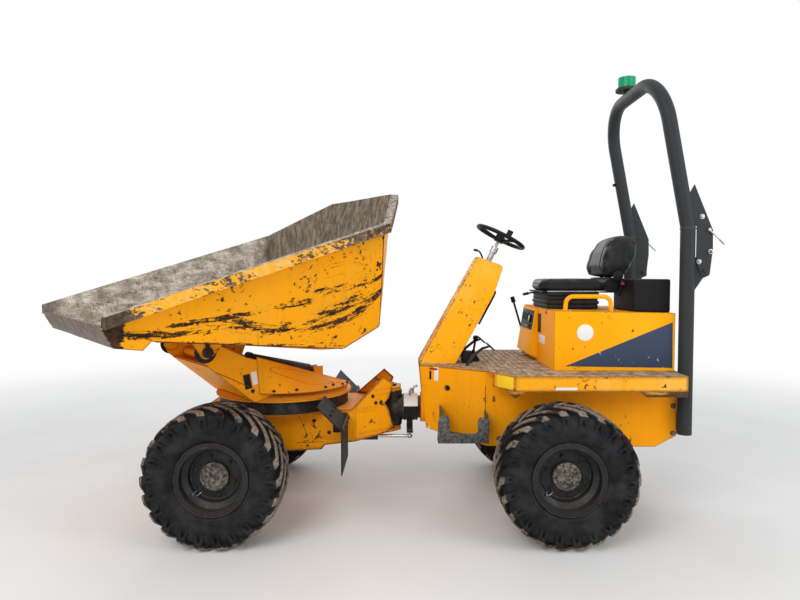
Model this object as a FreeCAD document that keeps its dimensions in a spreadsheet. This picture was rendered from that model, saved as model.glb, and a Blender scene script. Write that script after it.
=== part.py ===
"""Site dumper: articulated chassis, swivelling skip, folding roll hoop.

Millimetres. +X points forward, +Y to the machine's left, +Z up. The origin is on
the ground under the vertical pin that joins the two chassis halves. The skip and
its swivel frame are drawn straight ahead about the swivel axis and then turned to
the angle at which the machine is parked.
"""
import FreeCAD, Part
import Sketcher
import math
import os
import re

Vector = FreeCAD.Vector
Rotation = FreeCAD.Rotation
Placement = FreeCAD.Placement

# Driving dimensions: alias, value, what it is
SIZES = [
    ("wheel_base", 2090, "front axle to rear axle"),
    ("track", 1460, "between the wheel centre planes"),
    ("tyre_radius", 422, "over the lugs"),
    ("tyre_width", 290, "over the lugs"),
    ("lug_tall", 25, "lugs over the middle of the tread"),
    ("shoulder_drop", 44, "tread at the shoulder under the top of the lugs"),
    ("flank_drop", 77, "lower ends of the lugs on the side wall, under their top"),
    ("bulge_drop", 122, "widest part of the side wall under the top of the lugs"),
    ("lug_drop", 6, "lug tips lower at the shoulder than in the middle"),
    ("rim_radius", 195, "bead seat"),
    ("flange_tall", 24, "rim flange over the bead seat"),
    ("rim_lip", "rim_radius + flange_tall", "outside of the rim flange"),
    ("rim_width", 250, "over the flanges"),
    ("rim_gauge", 8, "rim plate"),
    ("well_deep", 30, "drop well under the bead seat"),
    ("disc_inset", 15, "wheel disc from the centre plane"),
    ("disc_gauge", 12, "wheel disc plate"),
    ("hub_radius", 88, "hub flange"),
    ("hub_reach", 50, "hub outside the centre plane"),
    ("hub_depth", 40, "hub inside the centre plane"),
    ("spindle_radius", 40, "stub shaft in the hub"),
    ("fit", 0.05, "radial clearance of a running fit"),
    ("seat_gap", 0.3, "between pieces that rest on each other"),
    ("axle_tube", 62, "radius of the axle tube"),
    ("carrier_radius", 95, "radius of the hub carrier"),
    ("diff_radius", 150, "radius of the differential housing"),
    ("saddle_width", 90, "axle saddle"),
    ("saddle_long", 140, "axle saddle along the machine"),
    ("plate", 12, "chassis plate"),
    ("chassis_base", 500, "height of the chassis over the axles"),
    ("rear_half", 430, "half width of the rear chassis"),
    ("rear_end", 1850, "rear chassis end, behind the pin"),
    ("nose_fold", 610, "where the rear chassis starts to taper"),
    ("nose_tip", 190, "front edge of the tapered nose"),
    ("nose_half", 160, "half width of the nose tip"),
    ("wheel_room", 156, "deck over the tyres"),
    ("deck_height", "2*tyre_radius + wheel_room", "top of the deck"),
    ("deck_plate", 8, "deck plate"),
    ("fender_wide", 240, "fender outside the rear chassis"),
    ("fender_half", "rear_half + fender_wide", "half width over the fenders"),
    ("fender_drop", 95, "depth of the fender edge"),
    ("fender_front", 760, "start of the full fender width"),
    ("deck_inset", 40, "deck ends ahead of the rear chassis end"),
    ("fender_end", "rear_end - deck_inset", "rear edge of the deck"),
    ("cover_front", 1046, "engine cover front, behind the pin"),
    ("cover_inset", 30, "engine cover ends ahead of the rear chassis end"),
    ("cover_rear", "rear_end - cover_inset", "engine cover rear"),
    ("bay_front", "cover_front + 34", "front of the engine bay opening"),
    ("bay_rear", "cover_rear - 40", "rear of the engine bay opening"),
    ("bay_half", "rear_half - 20", "half width of the engine bay opening"),
    ("engine_rear", 1650, "rear of the engine, behind the pin"),
    ("engine_long", 500, "engine"),
    ("engine_half", 220, "half width of the engine"),
    ("engine_tall", 550, "engine"),
    ("pivot_height", 670, "centre of the pivot tube"),
    ("pivot_tube", 80, "radius of the pivot tube"),
    ("pivot_reach", 340, "pivot tube end behind the pin"),
    ("knuckle_radius", 70, "knuckle round the pin"),
    ("steer_pin", 30, "radius of the vertical pin"),
    ("ear_under", 150, "underside of the lower ear under the pivot tube"),
    ("ear_over", 130, "underside of the upper ear over the pivot tube"),
    ("ear_low", "pivot_height - ear_under", "lower ear, underside"),
    ("ear_high", "pivot_height + ear_over", "upper ear, underside"),
    ("ear_plate", 25, "ear thickness"),
    ("ear_gap", 5, "knuckle to ear"),
    ("front_half", 300, "half width of the front chassis"),
    ("front_end", 1290, "front end of the front chassis"),
    ("front_fold", 240, "where the front chassis starts to taper"),
    ("tail_half", 140, "half width of its tail"),
    ("front_top", 700, "underside of its top plate"),
    ("swivel_centre", 771, "swivel axis ahead of the pin"),
    ("ring_radius", 450, "slew ring"),
    ("ring_bore", 300, "slew ring bore"),
    ("ring_tall", 60, "lower slew ring"),
    ("ring_cap", 22, "upper slew ring"),
    ("table_out", 24, "swivel table outside the slew ring"),
    ("table_radius", "ring_radius + table_out", "swivel table"),
    ("table_height", "front_top + plate + ring_tall + ring_cap", "underside of the swivel table"),
    ("table_rim", 12, "edge of the swivel table"),
    ("table_rise", 56, "crown of the swivel table over its edge"),
    ("cheek_half", 306, "half width over the swivel frame cheeks"),
    ("cheek", 14, "cheek plate"),
    ("tip_reach", 704, "tipping pin ahead of the swivel axis"),
    ("tip_rise", 357, "tipping pin over the slew ring"),
    ("tip_height", "table_height + tip_rise", "tipping pin"),
    ("tip_pin", 20, "radius of the tipping pin"),
    ("tip_boss", 44, "radius of the boss round it"),
    ("skip_turn", 39.5, "angle at which the skip is parked"),
    ("skip_gauge", 8, "skip plate"),
    ("skip_half", 800, "half width of the skip inside its rim, at the rear"),
    ("skip_front_half", 775, "half width of the skip at its lip"),
    ("skip_base_half", 700, "half width of the skip at its floor"),
    ("skip_front", 1385, "lip ahead of the swivel axis"),
    ("skip_side_rear", 285, "rear end of the side walls"),
    ("skip_back", 672, "top of the rear wall"),
    ("skip_back_half", 392, "half width of the rear wall"),
    ("rim_front_rise", 267, "side wall at the lip, over the tipping pin"),
    ("rim_front_height", "tip_height + rim_front_rise", "side wall at the lip"),
    ("rim_rear_rise", 797, "side wall at its rear end, over the tipping pin"),
    ("rim_rear_height", "tip_height + rim_rear_rise", "side wall at its rear end"),
    ("rim_back_rise", 1054, "top of the rear wall, over the tipping pin"),
    ("rim_back_height", "tip_height + rim_back_rise", "top of the rear wall"),
    ("floor_rear_rise", 1, "floor at its rear, at the sides, over the tipping pin"),
    ("floor_rear_height", "tip_height + floor_rear_rise", "floor at its rear, at the sides"),
    ("floor_front_rise", 129, "floor at its front, over the tipping pin"),
    ("floor_front_height", "tip_height + floor_front_rise", "floor at its front"),
    ("lip_rise", 215, "front edge of the floor, over the tipping pin"),
    ("lip_height", "tip_height + lip_rise", "front edge of the floor"),
    ("lip_foot_reach", 1333, "lower corner of the lip ahead of the swivel axis"),
    ("lip_foot_rise", 111, "lower corner of the lip, over the tipping pin"),
    ("lip_foot_height", "tip_height + lip_foot_rise", "lower corner of the lip"),
    ("lip_rear_reach", 1199, "rear corner of the box under the lip"),
    ("lip_rear_rise", 90, "rear corner of the box under the lip, over the tipping pin"),
    ("lip_rear_height", "tip_height + lip_rear_rise", "rear corner of the box under the lip"),
    ("keel_drop", 32, "floor lower in the middle"),
    ("keel_half", 440, "half width of the floor's middle at its rear"),
    ("keel_front_half", 360, "half width of the floor's middle at its front"),
    ("keel_front_reach", 980, "front end of the floor's middle"),
    ("floor_front_half", 740, "half width of the floor at its front"),
    ("floor_front_reach", 1140, "front end of the floor's sides"),
    ("floor_rear_reach", 30, "rear end of the floor, behind the swivel axis"),
    ("back_slope", 242, "foot of the rear wall ahead of its top"),
    ("foot_rise", 130, "foot of the side walls' rear ends over the floor"),
    ("rim_bar", 44, "width of the rim bar"),
    ("rim_deep", 60, "depth of the rim bar"),
    ("ram_barrel", 45, "radius of the tipping ram"),
    ("ram_rod", 25, "radius of its rod"),
    ("ram_foot_reach", -250, "foot of the ram from the swivel axis"),
    ("ram_foot_rise", 108, "foot of the ram over the slew ring"),
    ("ram_foot_height", "table_height + ram_foot_rise", "foot of the ram"),
    ("ram_eye_reach", 400, "eye of the ram ahead of the swivel axis"),
    ("ram_eye_drop", 85, "eye of the ram under the tipping pin"),
    ("ram_eye_height", "tip_height - ram_eye_drop", "eye of the ram"),
    ("ram_eye", 36, "radius of the eyes"),
    ("ram_eye_wide", 60, "width of the eyes"),
    ("ram_pin", 18, "radius of the ram's pins"),
    ("steer_foot_x", 400, "foot of the steering ram ahead of the pin"),
    ("steer_foot_y", 100, "foot of the steering ram to the left"),
    ("steer_eye_x", -125, "eye of the steering ram from the pin"),
    ("steer_eye_y", 105, "eye of the steering ram to the left"),
    ("steer_ram_drop", 35, "steering ram under the lower ear"),
    ("steer_ram_height", "ear_low - steer_ram_drop", "steering ram"),
    ("steer_barrel", 28, "radius of the steering ram"),
    ("steer_rod", 12.5, "radius of its rod"),
    ("steer_lug", 14, "radius of its foot pin"),
    ("cover_fall", 14, "fall of the engine cover's top to the rear"),
    ("cover_out", 27, "engine cover outside the rear chassis"),
    ("cover_half", "rear_half + cover_out", "half width of the engine cover"),
    ("cover_tall", 386, "engine cover over the deck"),
    ("cover_height", "deck_height + cover_tall", "top of the engine cover"),
    ("handle_start", 74, "grab handle behind the cover's front"),
    ("handle_long", 298, "grab handle"),
    ("handle_tall", 92, "grab handle over the cover"),
    ("cover_gauge", 5, "engine cover sheet"),
    ("console_half", 158, "half width of the console at the deck"),
    ("console_top_half", 105, "half width of the console top"),
    ("helm_x", -773, "steering wheel centre"),
    ("helm_rise", 888, "steering wheel centre over the deck"),
    ("helm_z", "deck_height + helm_rise", "steering wheel centre"),
    ("console_front", 190, "front of the console at the deck, behind the pin"),
    ("console_rear", 440, "rear of the console at the deck"),
    ("helm_rake", 26.9, "steering wheel tilt"),
    ("helm_radius", 175, "steering wheel rim centre line"),
    ("helm_rim", 14, "steering wheel rim section"),
    ("helm_shaft", 11, "steering shaft"),
    ("hoop_out", 48, "roll hoop centre line outside the rear chassis"),
    ("hoop_half", "rear_half + hoop_out", "half width of the roll hoop centre line"),
    ("hoop_tube", 45, "radius of the roll hoop tube"),
    ("post_gap", 30, "roll hoop posts behind the rear chassis"),
    ("post_x", "-rear_end - post_gap", "roll hoop post centre"),
    ("post_foot", 596, "foot of the posts"),
    ("post_top", 1920, "top of the fixed posts"),
    ("hoop_top", 2880, "centre line of the hoop top"),
    ("hoop_lean", 185, "hoop top ahead of its foot"),
    ("hoop_corner", 300, "bend radius of the hoop"),
    ("fold_back", 108, "fold pin of the hoop behind the posts"),
    ("fold_x", "post_x - fold_back", "fold pin of the hoop"),
    ("fold_z", 1640, "fold pin of the hoop"),
    ("fold_pin", 14, "radius of the fold pin"),
    ("hinge_plate", 12, "hinge plate"),
    ("beacon_across", -130, "beacon to the left of the machine's middle"),
    ("beacon_behind", 10, "beacon behind the hoop's middle"),
    ("beacon_rise", 42, "foot of the lens over the hoop tube"),
    ("beacon_radius", 62, "beacon lens"),
    ("beacon_tall", 79, "beacon lens"),
    ("lever_across", 490, "lever to the right of the machine's middle"),
    ("lever_foot", 1080, "lever foot behind the pin"),
    ("lever_tall", 440, "lever"),
    ("lever_radius", 8, "lever"),
    ("cushion_front", 1000, "front of the cushion, behind the pin"),
    ("cushion_rear", 1450, "rear of the cushion"),
    ("cushion_half", 240, "half width of the cushion"),
    ("cushion_deep", 84, "cushion"),
    ("cushion_corner", 90, "rounding of the cushion's front corners"),
    ("seat_rise", 122, "underside of the cushion over the cover"),
    ("seat_base", "cover_height + seat_rise", "underside of the cushion"),
    ("back_half", 225, "half width of the backrest"),
    ("back_front", 1430, "front of the backrest"),
    ("back_rear", 1700, "rear of the backrest"),
    ("back_lift", 8, "foot of the backrest over the cushion"),
    ("back_foot", "seat_base + cushion_deep + back_lift", "foot of the backrest"),
    ("back_tall", 305, "backrest"),
    ("back_top", "back_foot + back_tall", "top of the backrest"),
    ("box_rear", "cover_rear - 5", "rear of the tool box, behind the pin"),
    ("box_long", 240, "tool box"),
    ("box_front", "box_rear - box_long", "front of the tool box"),
    ("box_side", 20, "right side of the tool box"),
    ("box_wide", 380, "tool box"),
    ("box_tall", 204, "top of the tool box over the cover"),
    ("box_top", "cover_height + box_tall", "top of the tool box"),
    ("pedal_foot", 520, "pedal foot behind the pin"),
    ("pedal_across", 230, "pedals from the machine's middle"),
    ("step_rise", 60, "step tread over the foot of the chassis"),
    ("step_long", 280, "step hangers apart"),
    ("step_wide", 130, "step tread at its rear"),
    ("guard_gap", 60, "mudguard's inner edge outside the front chassis"),
    ("flap_half", 720, "half width over the mud flaps"),
    ("flap_gauge", 7.7, "mud flap"),
    ("flap_tall", 290, "mud flap"),
    ("neck_radius", 28, "neck between the ram's foot eye and its barrel"),
    ("neck_reach", 60, "start of the barrel from the ram's foot"),
]

NODES = []
ALIASES = set(row[0] for row in SIZES)

doc = FreeCAD.newDocument("SiteDumper")
sheet = doc.addObject("Spreadsheet::Sheet", "Sizes")
for row_number, (alias, number, meaning) in enumerate(SIZES, start=1):
    sheet.set("A%d" % row_number, meaning)
    sheet.set("B%d" % row_number, "=" + number if isinstance(number, str) else str(number))
    sheet.setAlias("B%d" % row_number, alias)
doc.recompute()


def size(alias):
    """The number that the sheet holds under an alias."""
    return float(sheet.get(alias))


def linked(text):
    """An expression in aliases, written so that it reads the sheet."""
    def point_at_sheet(match):
        word = match.group()
        return "Sizes." + word if word in ALIASES else word
    return re.sub(r"[a-z][a-z_]*", point_at_sheet, text)


def bind(piece, **expressions):
    """Bind properties to expressions; double underscores stand for dots."""
    for name, text in expressions.items():
        piece.setExpression(name.replace("__", "."), linked(text))
    return piece


def node(piece, label):
    """Give a finished sub-part its name."""
    piece.Label = label
    NODES.append(piece)
    return piece


def at(piece, x="0", y="0", z="0"):
    """Place a piece by expressions."""
    return bind(piece, Placement__Base__x=x, Placement__Base__y=y, Placement__Base__z=z)


def on_swivel(piece):
    """Turn a piece with the skip about the swivel axis."""
    piece.Placement = Placement(Vector(0, 0, 0), Rotation(Vector(0, 0, 1), 1))
    bind(piece, Placement__Rotation__Angle="skip_turn")
    return at(piece, x="swivel_centre")


def outline_sketch(body, role, name, outline):
    """A closed outline of lines on one of the body's own planes."""
    sketch = body.newObject("Sketcher::SketchObject", name)
    plane = [item for item in body.Origin.OriginFeatures if item.Role == role + "_Plane"][0]
    sketch.AttachmentSupport = [(plane, "")]
    sketch.MapMode = "FlatFace"
    count = len(outline)
    ring = []
    for index in range(count):
        turn = 2 * math.pi * (index + 0.3) / count
        ring.append(Vector(100 * math.cos(turn), 100 * math.sin(turn), 0))
    for index in range(count):
        sketch.addGeometry(Part.LineSegment(ring[index], ring[(index + 1) % count]), False)
    for index in range(count):
        sketch.addConstraint(Sketcher.Constraint("Coincident", index, 2, (index + 1) % count, 1))
    for index, (across, up) in enumerate(outline):
        for kind, start, text in (("DistanceX", ring[index].x, across), ("DistanceY", ring[index].y, up)):
            number = sketch.addConstraint(Sketcher.Constraint(kind, -1, 1, index, 1, start))
            sketch.setExpression("Constraints[%d]" % number, linked(text))
    return sketch


def prism(name, role, outline, start, length):
    """A padded outline.

    role XY: outline in x and y, from z = start upwards. role YZ: outline in y and z,
    from x = start forwards. role XZ: outline in x and z, from y = start to the right.
    """
    body = doc.addObject("PartDesign::Body", name)
    sketch = outline_sketch(body, role, name + "_outline", outline)
    offset = "-(" + start + ")" if role == "XZ" else start
    bind(sketch, AttachmentOffset__Base__z=offset)
    pad = body.newObject("PartDesign::Pad", name + "_pad")
    pad.Profile = sketch
    bind(pad, Length=length)
    return body


def lathe(name, outline, upright=False):
    """A turned piece: outline in (along the axis, radius); the axis is Y, or Z if upright."""
    body = doc.addObject("PartDesign::Body", name)
    if upright:
        sketch = outline_sketch(body, "XZ", name + "_outline", [(up, along) for along, up in outline])
    else:
        sketch = outline_sketch(body, "YZ", name + "_outline", outline)
    turned = body.newObject("PartDesign::Revolution", name + "_turned")
    turned.Profile = sketch
    turned.ReferenceAxis = (sketch, ["V_Axis" if upright else "H_Axis"])
    turned.Angle = 360
    return body


def block(name, x, y, z, long, wide, tall):
    """A box by its low corner and its sizes."""
    piece = doc.addObject("Part::Box", name)
    bind(piece, Length=long, Width=wide, Height=tall)
    return at(piece, x, y, z)


def rod(name, axis, x, y, z, radius, length):
    """A cylinder from a point along +X, +Y or +Z, or along an axis given as a vector."""
    piece = doc.addObject("Part::Cylinder", name)
    ways = {"X": Vector(1, 0, 0), "Y": Vector(0, 1, 0), "Z": Vector(0, 0, 1)}
    way = ways[axis] if isinstance(axis, str) else axis
    piece.Placement = Placement(Vector(0, 0, 0), Rotation(Vector(0, 0, 1), way))
    bind(piece, Radius=radius, Height=length)
    return at(piece, x, y, z)


def fuse(name, pieces):
    """Weld pieces into one."""
    piece = doc.addObject("Part::MultiFuse", name)
    piece.Shapes = pieces
    piece.Refine = True
    return piece


def cut(name, base, tool):
    """Take a tool away from a piece."""
    piece = doc.addObject("Part::Cut", name)
    piece.Base = base
    piece.Tool = tool
    piece.Refine = True
    return piece


def common(name, first, second):
    """What two pieces share."""
    piece = doc.addObject("Part::MultiCommon", name)
    piece.Shapes = [first, second]
    piece.Refine = True
    return piece


def mirrored(name, source):
    """The same piece on the other side of the machine."""
    piece = doc.addObject("Part::Mirroring", name)
    piece.Source = source
    piece.Normal = Vector(0, 1, 0)
    return piece


def pair(name, source):
    """A piece and its mirror image, welded where they meet."""
    return fuse(name, [source, mirrored(name + "_other", source)])


def shaped(name, shape):
    """A piece whose shape is worked out here from the sheet."""
    piece = doc.addObject("Part::Feature", name)
    piece.Shape = shape
    return piece


def bent_tube(points, bends, radius):
    """A tube along straight runs joined by tangent arcs.

    points are the corners of the route; bends holds one bend radius per inner corner.
    """
    edges = []
    start = points[0]
    for index, bend in enumerate(bends, start=1):
        corner = points[index]
        back = (points[index - 1] - corner).normalize()
        ahead = (points[index + 1] - corner).normalize()
        half = back.getAngle(ahead) / 2
        reach = bend / math.tan(half)
        leave = corner + back * reach
        meet = corner + ahead * reach
        inward = (back + ahead).normalize()
        middle = corner + inward * (bend / math.sin(half) - bend)
        edges.append(Part.LineSegment(start, leave).toShape())
        edges.append(Part.Arc(leave, middle, meet).toShape())
        start = meet
    edges.append(Part.LineSegment(start, points[-1]).toShape())
    path = Part.Wire(edges)
    section = Part.Wire([Part.Circle(points[0], points[1] - points[0], radius).toShape()])
    return path.makePipeShell([section], True, True)


# Tread and side wall of a tyre, from the middle of the tread outwards: station, distance
# from the wheel's centre plane, radius between the lugs, radius over the lugs, and how far
# round the wheel the lug has swung back there, in degrees
TREAD = [
    ("middle", "8", "tyre_radius - lug_tall", "tyre_radius", 0),
    ("shoulder", "tyre_width/2 - 12", "tyre_radius - shoulder_drop", "tyre_radius - 2*lug_drop", 27),
    ("flank", "tyre_width/2 - 5", "tyre_radius - flank_drop", "tyre_radius - flank_drop + lug_drop", 29),
]
LUGS = 22
LUG_SHARE = 0.42


def value(text):
    """The number of an expression in aliases, worked out from the sheet."""
    return float(sheet.evalExpression(text))


def tyre():
    """A tyre about the Y axis with slanted lugs on both halves of its tread, in flat facets."""
    points, facets = [], []

    def ring(across, radius, turns):
        """Corners at one distance across and one radius, at the given angles in degrees."""
        first = len(points)
        for turn in turns:
            angle = math.radians(turn)
            points.append(Vector(radius * math.cos(angle), across, radius * math.sin(angle)))
        return list(range(first, len(points)))

    def strip(first, second, closed=True):
        """Facets between two rings of as many corners."""
        count = len(first)
        for index in range(count if closed else count - 1):
            following = (index + 1) % count
            facets.append((first[index], first[following], second[following]))
            facets.append((first[index], second[following], second[index]))

    pitch = 360.0 / LUGS
    stations = [(value(across), value(low), value(high), swing) for name, across, low, high, swing in TREAD]
    half_rings = {}
    for side in (-1, 1):
        offset = 90 if side > 0 else 90 + pitch / 2
        low_rings, high_rings = [], []
        for across, low, high, swing in stations:
            turns = []
            for lug in range(LUGS):
                start = offset + lug * pitch + swing
                turns += [start, start + pitch * LUG_SHARE]
            low_rings.append(ring(side * across, low, turns))
            high_rings.append(ring(side * across, high, turns))
        for lug in range(LUGS):
            lead, trail, following = 2 * lug, 2 * lug + 1, (2 * lug + 2) % (2 * LUGS)
            for near in range(len(stations) - 1):
                low_a, low_b = low_rings[near], low_rings[near + 1]
                high_a, high_b = high_rings[near], high_rings[near + 1]
                walls = [(low_a[lead], high_a[lead], high_b[lead], low_b[lead]),
                         (high_a[lead], high_a[trail], high_b[trail], high_b[lead]),
                         (high_a[trail], low_a[trail], low_b[trail], high_b[trail]),
                         (low_a[trail], low_a[following], low_b[following], low_b[trail])]
                for wall in walls:
                    facets.append((wall[0], wall[1], wall[2]))
                    facets.append((wall[0], wall[2], wall[3]))
            for low, high in ((low_rings[0], high_rings[0]), (low_rings[-1], high_rings[-1])):
                facets.append((low[lead], low[trail], high[trail]))
                facets.append((low[lead], high[trail], high[lead]))
        half_rings[side] = low_rings
    strip(half_rings[-1][0], half_rings[1][0])
    # Side walls down to the bead, with one corner per lug
    round_share = 1 / math.cos(math.radians(pitch / 2))
    bead = value("rim_width/2 - rim_gauge - seat_gap")
    inner = []
    for side in (-1, 1):
        flank = half_rings[side][-1]
        middles = [90 + pitch * (lug + 0.5 if side < 0 else lug) + TREAD[-1][4] for lug in range(LUGS)]
        bulge = ring(side * value("tyre_width/2"), value("tyre_radius - bulge_drop"), middles)
        lip = ring(side * bead, value("rim_lip + seat_gap") * round_share, middles)
        seat = ring(side * bead, value("rim_radius + seat_gap") * round_share, middles)
        for lug in range(LUGS):
            lead, trail = flank[2 * lug], flank[2 * lug + 1]
            after = flank[(2 * lug + 2) % (2 * LUGS)]
            facets.append((lead, trail, bulge[lug]))
            facets.append((trail, after, bulge[lug]))
            facets.append((after, bulge[(lug + 1) % LUGS], bulge[lug]))
        strip(bulge, lip)
        strip(lip, seat)
        inner.append(seat)
    strip(inner[0], inner[1])
    shell = Part.Shape()
    shell.makeShapeFromMesh((points, facets), 0.001, True)
    solid = Part.Solid(shell if shell.ShapeType == "Shell" else Part.Shell(shell.Faces))
    if solid.Volume < 0:
        solid.reverse()
    return solid


# Wheels: name, side of the wheel base (+1 front), side of the machine (+1 left)
WHEELS = [
    ("front_left", 1, 1),
    ("front_right", 1, -1),
    ("rear_left", -1, 1),
    ("rear_right", -1, -1),
]

RIM_OUTLINE = [
    ("-rim_width/2", "rim_lip"),
    ("-rim_width/2 + rim_gauge", "rim_lip"),
    ("-rim_width/2 + rim_gauge", "rim_radius"),
    ("-rim_width/2 + 55", "rim_radius"),
    ("-rim_width/2 + 75", "rim_radius - well_deep"),
    ("rim_width/2 - 75", "rim_radius - well_deep"),
    ("rim_width/2 - 55", "rim_radius"),
    ("rim_width/2 - rim_gauge", "rim_radius"),
    ("rim_width/2 - rim_gauge", "rim_lip"),
    ("rim_width/2", "rim_lip"),
    ("rim_width/2", "rim_radius - rim_gauge"),
    ("rim_width/2 - 51", "rim_radius - rim_gauge"),
    ("rim_width/2 - 71", "rim_radius - well_deep - rim_gauge"),
    ("disc_inset + disc_gauge", "rim_radius - well_deep - rim_gauge"),
    ("disc_inset + disc_gauge + 4", "hub_radius"),
    ("hub_reach", "hub_radius"),
    ("hub_reach", "hub_radius - 28"),
    ("hub_reach + 12", "hub_radius - 33"),
    ("hub_reach + 12", "0"),
    ("disc_inset + 5", "0"),
    ("disc_inset + 5", "spindle_radius + fit"),
    ("-hub_depth", "spindle_radius + fit"),
    ("-hub_depth", "hub_radius"),
    ("disc_inset", "hub_radius"),
    ("disc_inset", "rim_radius - well_deep - rim_gauge"),
    ("-rim_width/2 + 71", "rim_radius - well_deep - rim_gauge"),
    ("-rim_width/2 + 51", "rim_radius - rim_gauge"),
    ("-rim_width/2", "rim_radius - rim_gauge"),
]

tyre_form = tyre()
for place, end, side in WHEELS:
    carcass = shaped("Tyre_" + place, tyre_form)
    rim = lathe("Rim_" + place, RIM_OUTLINE)
    for piece, label, turn in ((carcass, "tyre_" + place, 0), (rim, "rim_" + place, 90 - 90 * side)):
        piece.Placement = Placement(Vector(0, 0, 0), Rotation(Vector(0, 0, 1), turn))
        at(piece, "%d*wheel_base/2" % end, "%d*track/2" % side, "tyre_radius")
        node(piece, label)

# Axles: name, side of the wheel base, half width of the chassis over the saddles
for place, end, half in (("front", 1, "front_half"), ("rear", -1, "rear_half")):
    beam = lathe("Beam_" + place, [
        ("-(track/2 + disc_inset)", "0"),
        ("-(track/2 + disc_inset)", "spindle_radius"),
        ("-(track/2 - hub_depth - 10)", "spindle_radius"),
        ("-(track/2 - hub_depth - 10)", "carrier_radius"),
        ("-(track/2 - hub_depth - 80)", "carrier_radius"),
        ("-(track/2 - hub_depth - 100)", "axle_tube"),
        ("-diff_radius - 60", "axle_tube"),
        ("-diff_radius/2 - 30", "diff_radius"),
        ("diff_radius/2 + 30", "diff_radius"),
        ("diff_radius + 60", "axle_tube"),
        ("track/2 - hub_depth - 100", "axle_tube"),
        ("track/2 - hub_depth - 80", "carrier_radius"),
        ("track/2 - hub_depth - 10", "carrier_radius"),
        ("track/2 - hub_depth - 10", "spindle_radius"),
        ("track/2 + disc_inset", "spindle_radius"),
        ("track/2 + disc_inset", "0"),
    ])
    saddle = block("Saddle_" + place, "-saddle_long/2", half + " - plate/2 - saddle_width/2", "0",
                   "saddle_long", "saddle_width", "chassis_base - tyre_radius")
    axle = fuse("Axle_" + place, [beam, pair("Saddles_" + place, saddle)])
    at(axle, "%d*wheel_base/2" % end, "0", "tyre_radius")
    node(axle, place + "_axle")

# Rear chassis: parallel side plates, tapered nose, bearing for the pivot tube
side_plate = prism("RearSide", "XZ", [
    ("-nose_fold", "deck_height - deck_plate"),
    ("-nose_fold", "chassis_base + 5"),
    ("-wheel_base/2 + saddle_long", "chassis_base"),
    ("-rear_end + 135", "chassis_base"),
    ("-rear_end", "chassis_base + 72"),
    ("-rear_end", "deck_height - deck_plate"),
], "rear_half", "plate")
nose_shape = prism("NoseSide", "XZ", [
    ("-nose_fold - 20", "deck_height - deck_plate"),
    ("-nose_fold - 20", "chassis_base + 5"),
    ("-nose_tip - 72", "chassis_base + 60"),
    ("-nose_tip - 38", "chassis_base + 120"),
    ("-nose_tip", "deck_height - deck_plate"),
], "rear_half + 20", "rear_half + 20")
nose_slab = prism("NoseSlab", "XY", [
    ("-nose_tip + 10", "nose_half"),
    ("-nose_fold", "rear_half"),
    ("-nose_fold - 8", "rear_half"),
    ("-nose_fold - 8", "rear_half - plate"),
    ("-nose_fold", "rear_half - plate - 2"),
    ("-nose_tip + 10", "nose_half - plate - 2"),
], "chassis_base", "deck_height")
nose_plate = common("NosePlate", nose_shape, nose_slab)
nose_front = block("NoseFront", "-nose_tip - 60", "-(nose_half + 32)", "chassis_base + 62",
                   "plate", "2*(nose_half + 32)", "deck_height - deck_plate - chassis_base - 62")
housing = rod("PivotHousing", "X", "-pivot_reach", "0", "pivot_height",
              "pivot_tube + 26", "pivot_reach - nose_tip - 12")
transom = block("Transom", "-rear_end", "-(rear_half - 1)", "chassis_base + 75",
                "plate", "2*(rear_half - 1)", "deck_height - deck_plate - chassis_base - 75")
beam_front = block("EngineBeamFront", "-engine_rear + engine_long - 80", "-(rear_half - 1)", "chassis_base + 40",
                   "60", "2*(rear_half - 1)", "30")
beam_rear = block("EngineBeamRear", "-engine_rear + 10", "-(rear_half - 1)", "chassis_base + 40",
                  "60", "2*(rear_half - 1)", "30")
nose_bulkhead = block("NoseBulkhead", "-pivot_reach - plate", "-(rear_half - 170)", "chassis_base + 62",
                      "plate", "2*(rear_half - 170)", "deck_height - deck_plate - chassis_base - 62")
rear_weldment = fuse("RearWeldment", [
    pair("RearSides", side_plate), pair("NosePlates", nose_plate), nose_front, housing,
    transom, beam_front, beam_rear, nose_bulkhead])
pivot_bore = rod("PivotBore", "X", "-pivot_reach - 50", "0", "pivot_height",
                 "pivot_tube + fit", "pivot_reach")
nose_hole = rod("NoseHole", "Y", "-nose_fold + 231", "0", "pivot_height + 187", "14", "rear_half")
slot_low = rod("SlotLow", "Y", "-nose_fold - 56", "rear_half - 30", "pivot_height + 133", "9", "60")
slot_high = block("SlotHigh", "-nose_fold - 61", "rear_half - 30", "pivot_height + 133", "10", "60", "26")
side_holes = pair("SideHoles", fuse("SideHole", [nose_hole, slot_low, slot_high]))
node(cut("RearChassis", rear_weldment, fuse("RearBores", [pivot_bore, side_holes])), "rear_chassis")

# Deck: one plate over nose, sides and fenders, open over the engine, with turned edges
deck_outline = [
    ("-nose_tip - 2", "nose_half + 2"),
    ("-nose_fold", "rear_half + 10"),
    ("-nose_fold - 40", "rear_half + 80"),
    ("-fender_front", "fender_half"),
    ("-fender_end", "fender_half"),
]
deck_ring = deck_outline + [(x, "-(" + y + ")") for x, y in reversed(deck_outline)]
deck_sheet = prism("DeckSheet", "XY", deck_ring, "deck_height - deck_plate", "deck_plate")
edge_side = block("FenderSide", "-fender_end", "fender_half - deck_plate", "deck_height - fender_drop",
                  "fender_end - fender_front", "deck_plate", "fender_drop - 1")
edge_corner = prism("FenderCorner", "XY", [
    ("-nose_fold - 40", "rear_half + 80"),
    ("-fender_front", "fender_half"),
    ("-fender_front", "fender_half - deck_plate*1.4"),
    ("-nose_fold - 40", "rear_half + 80 - deck_plate*1.6"),
], "deck_height - fender_drop", "fender_drop - 1")
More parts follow.
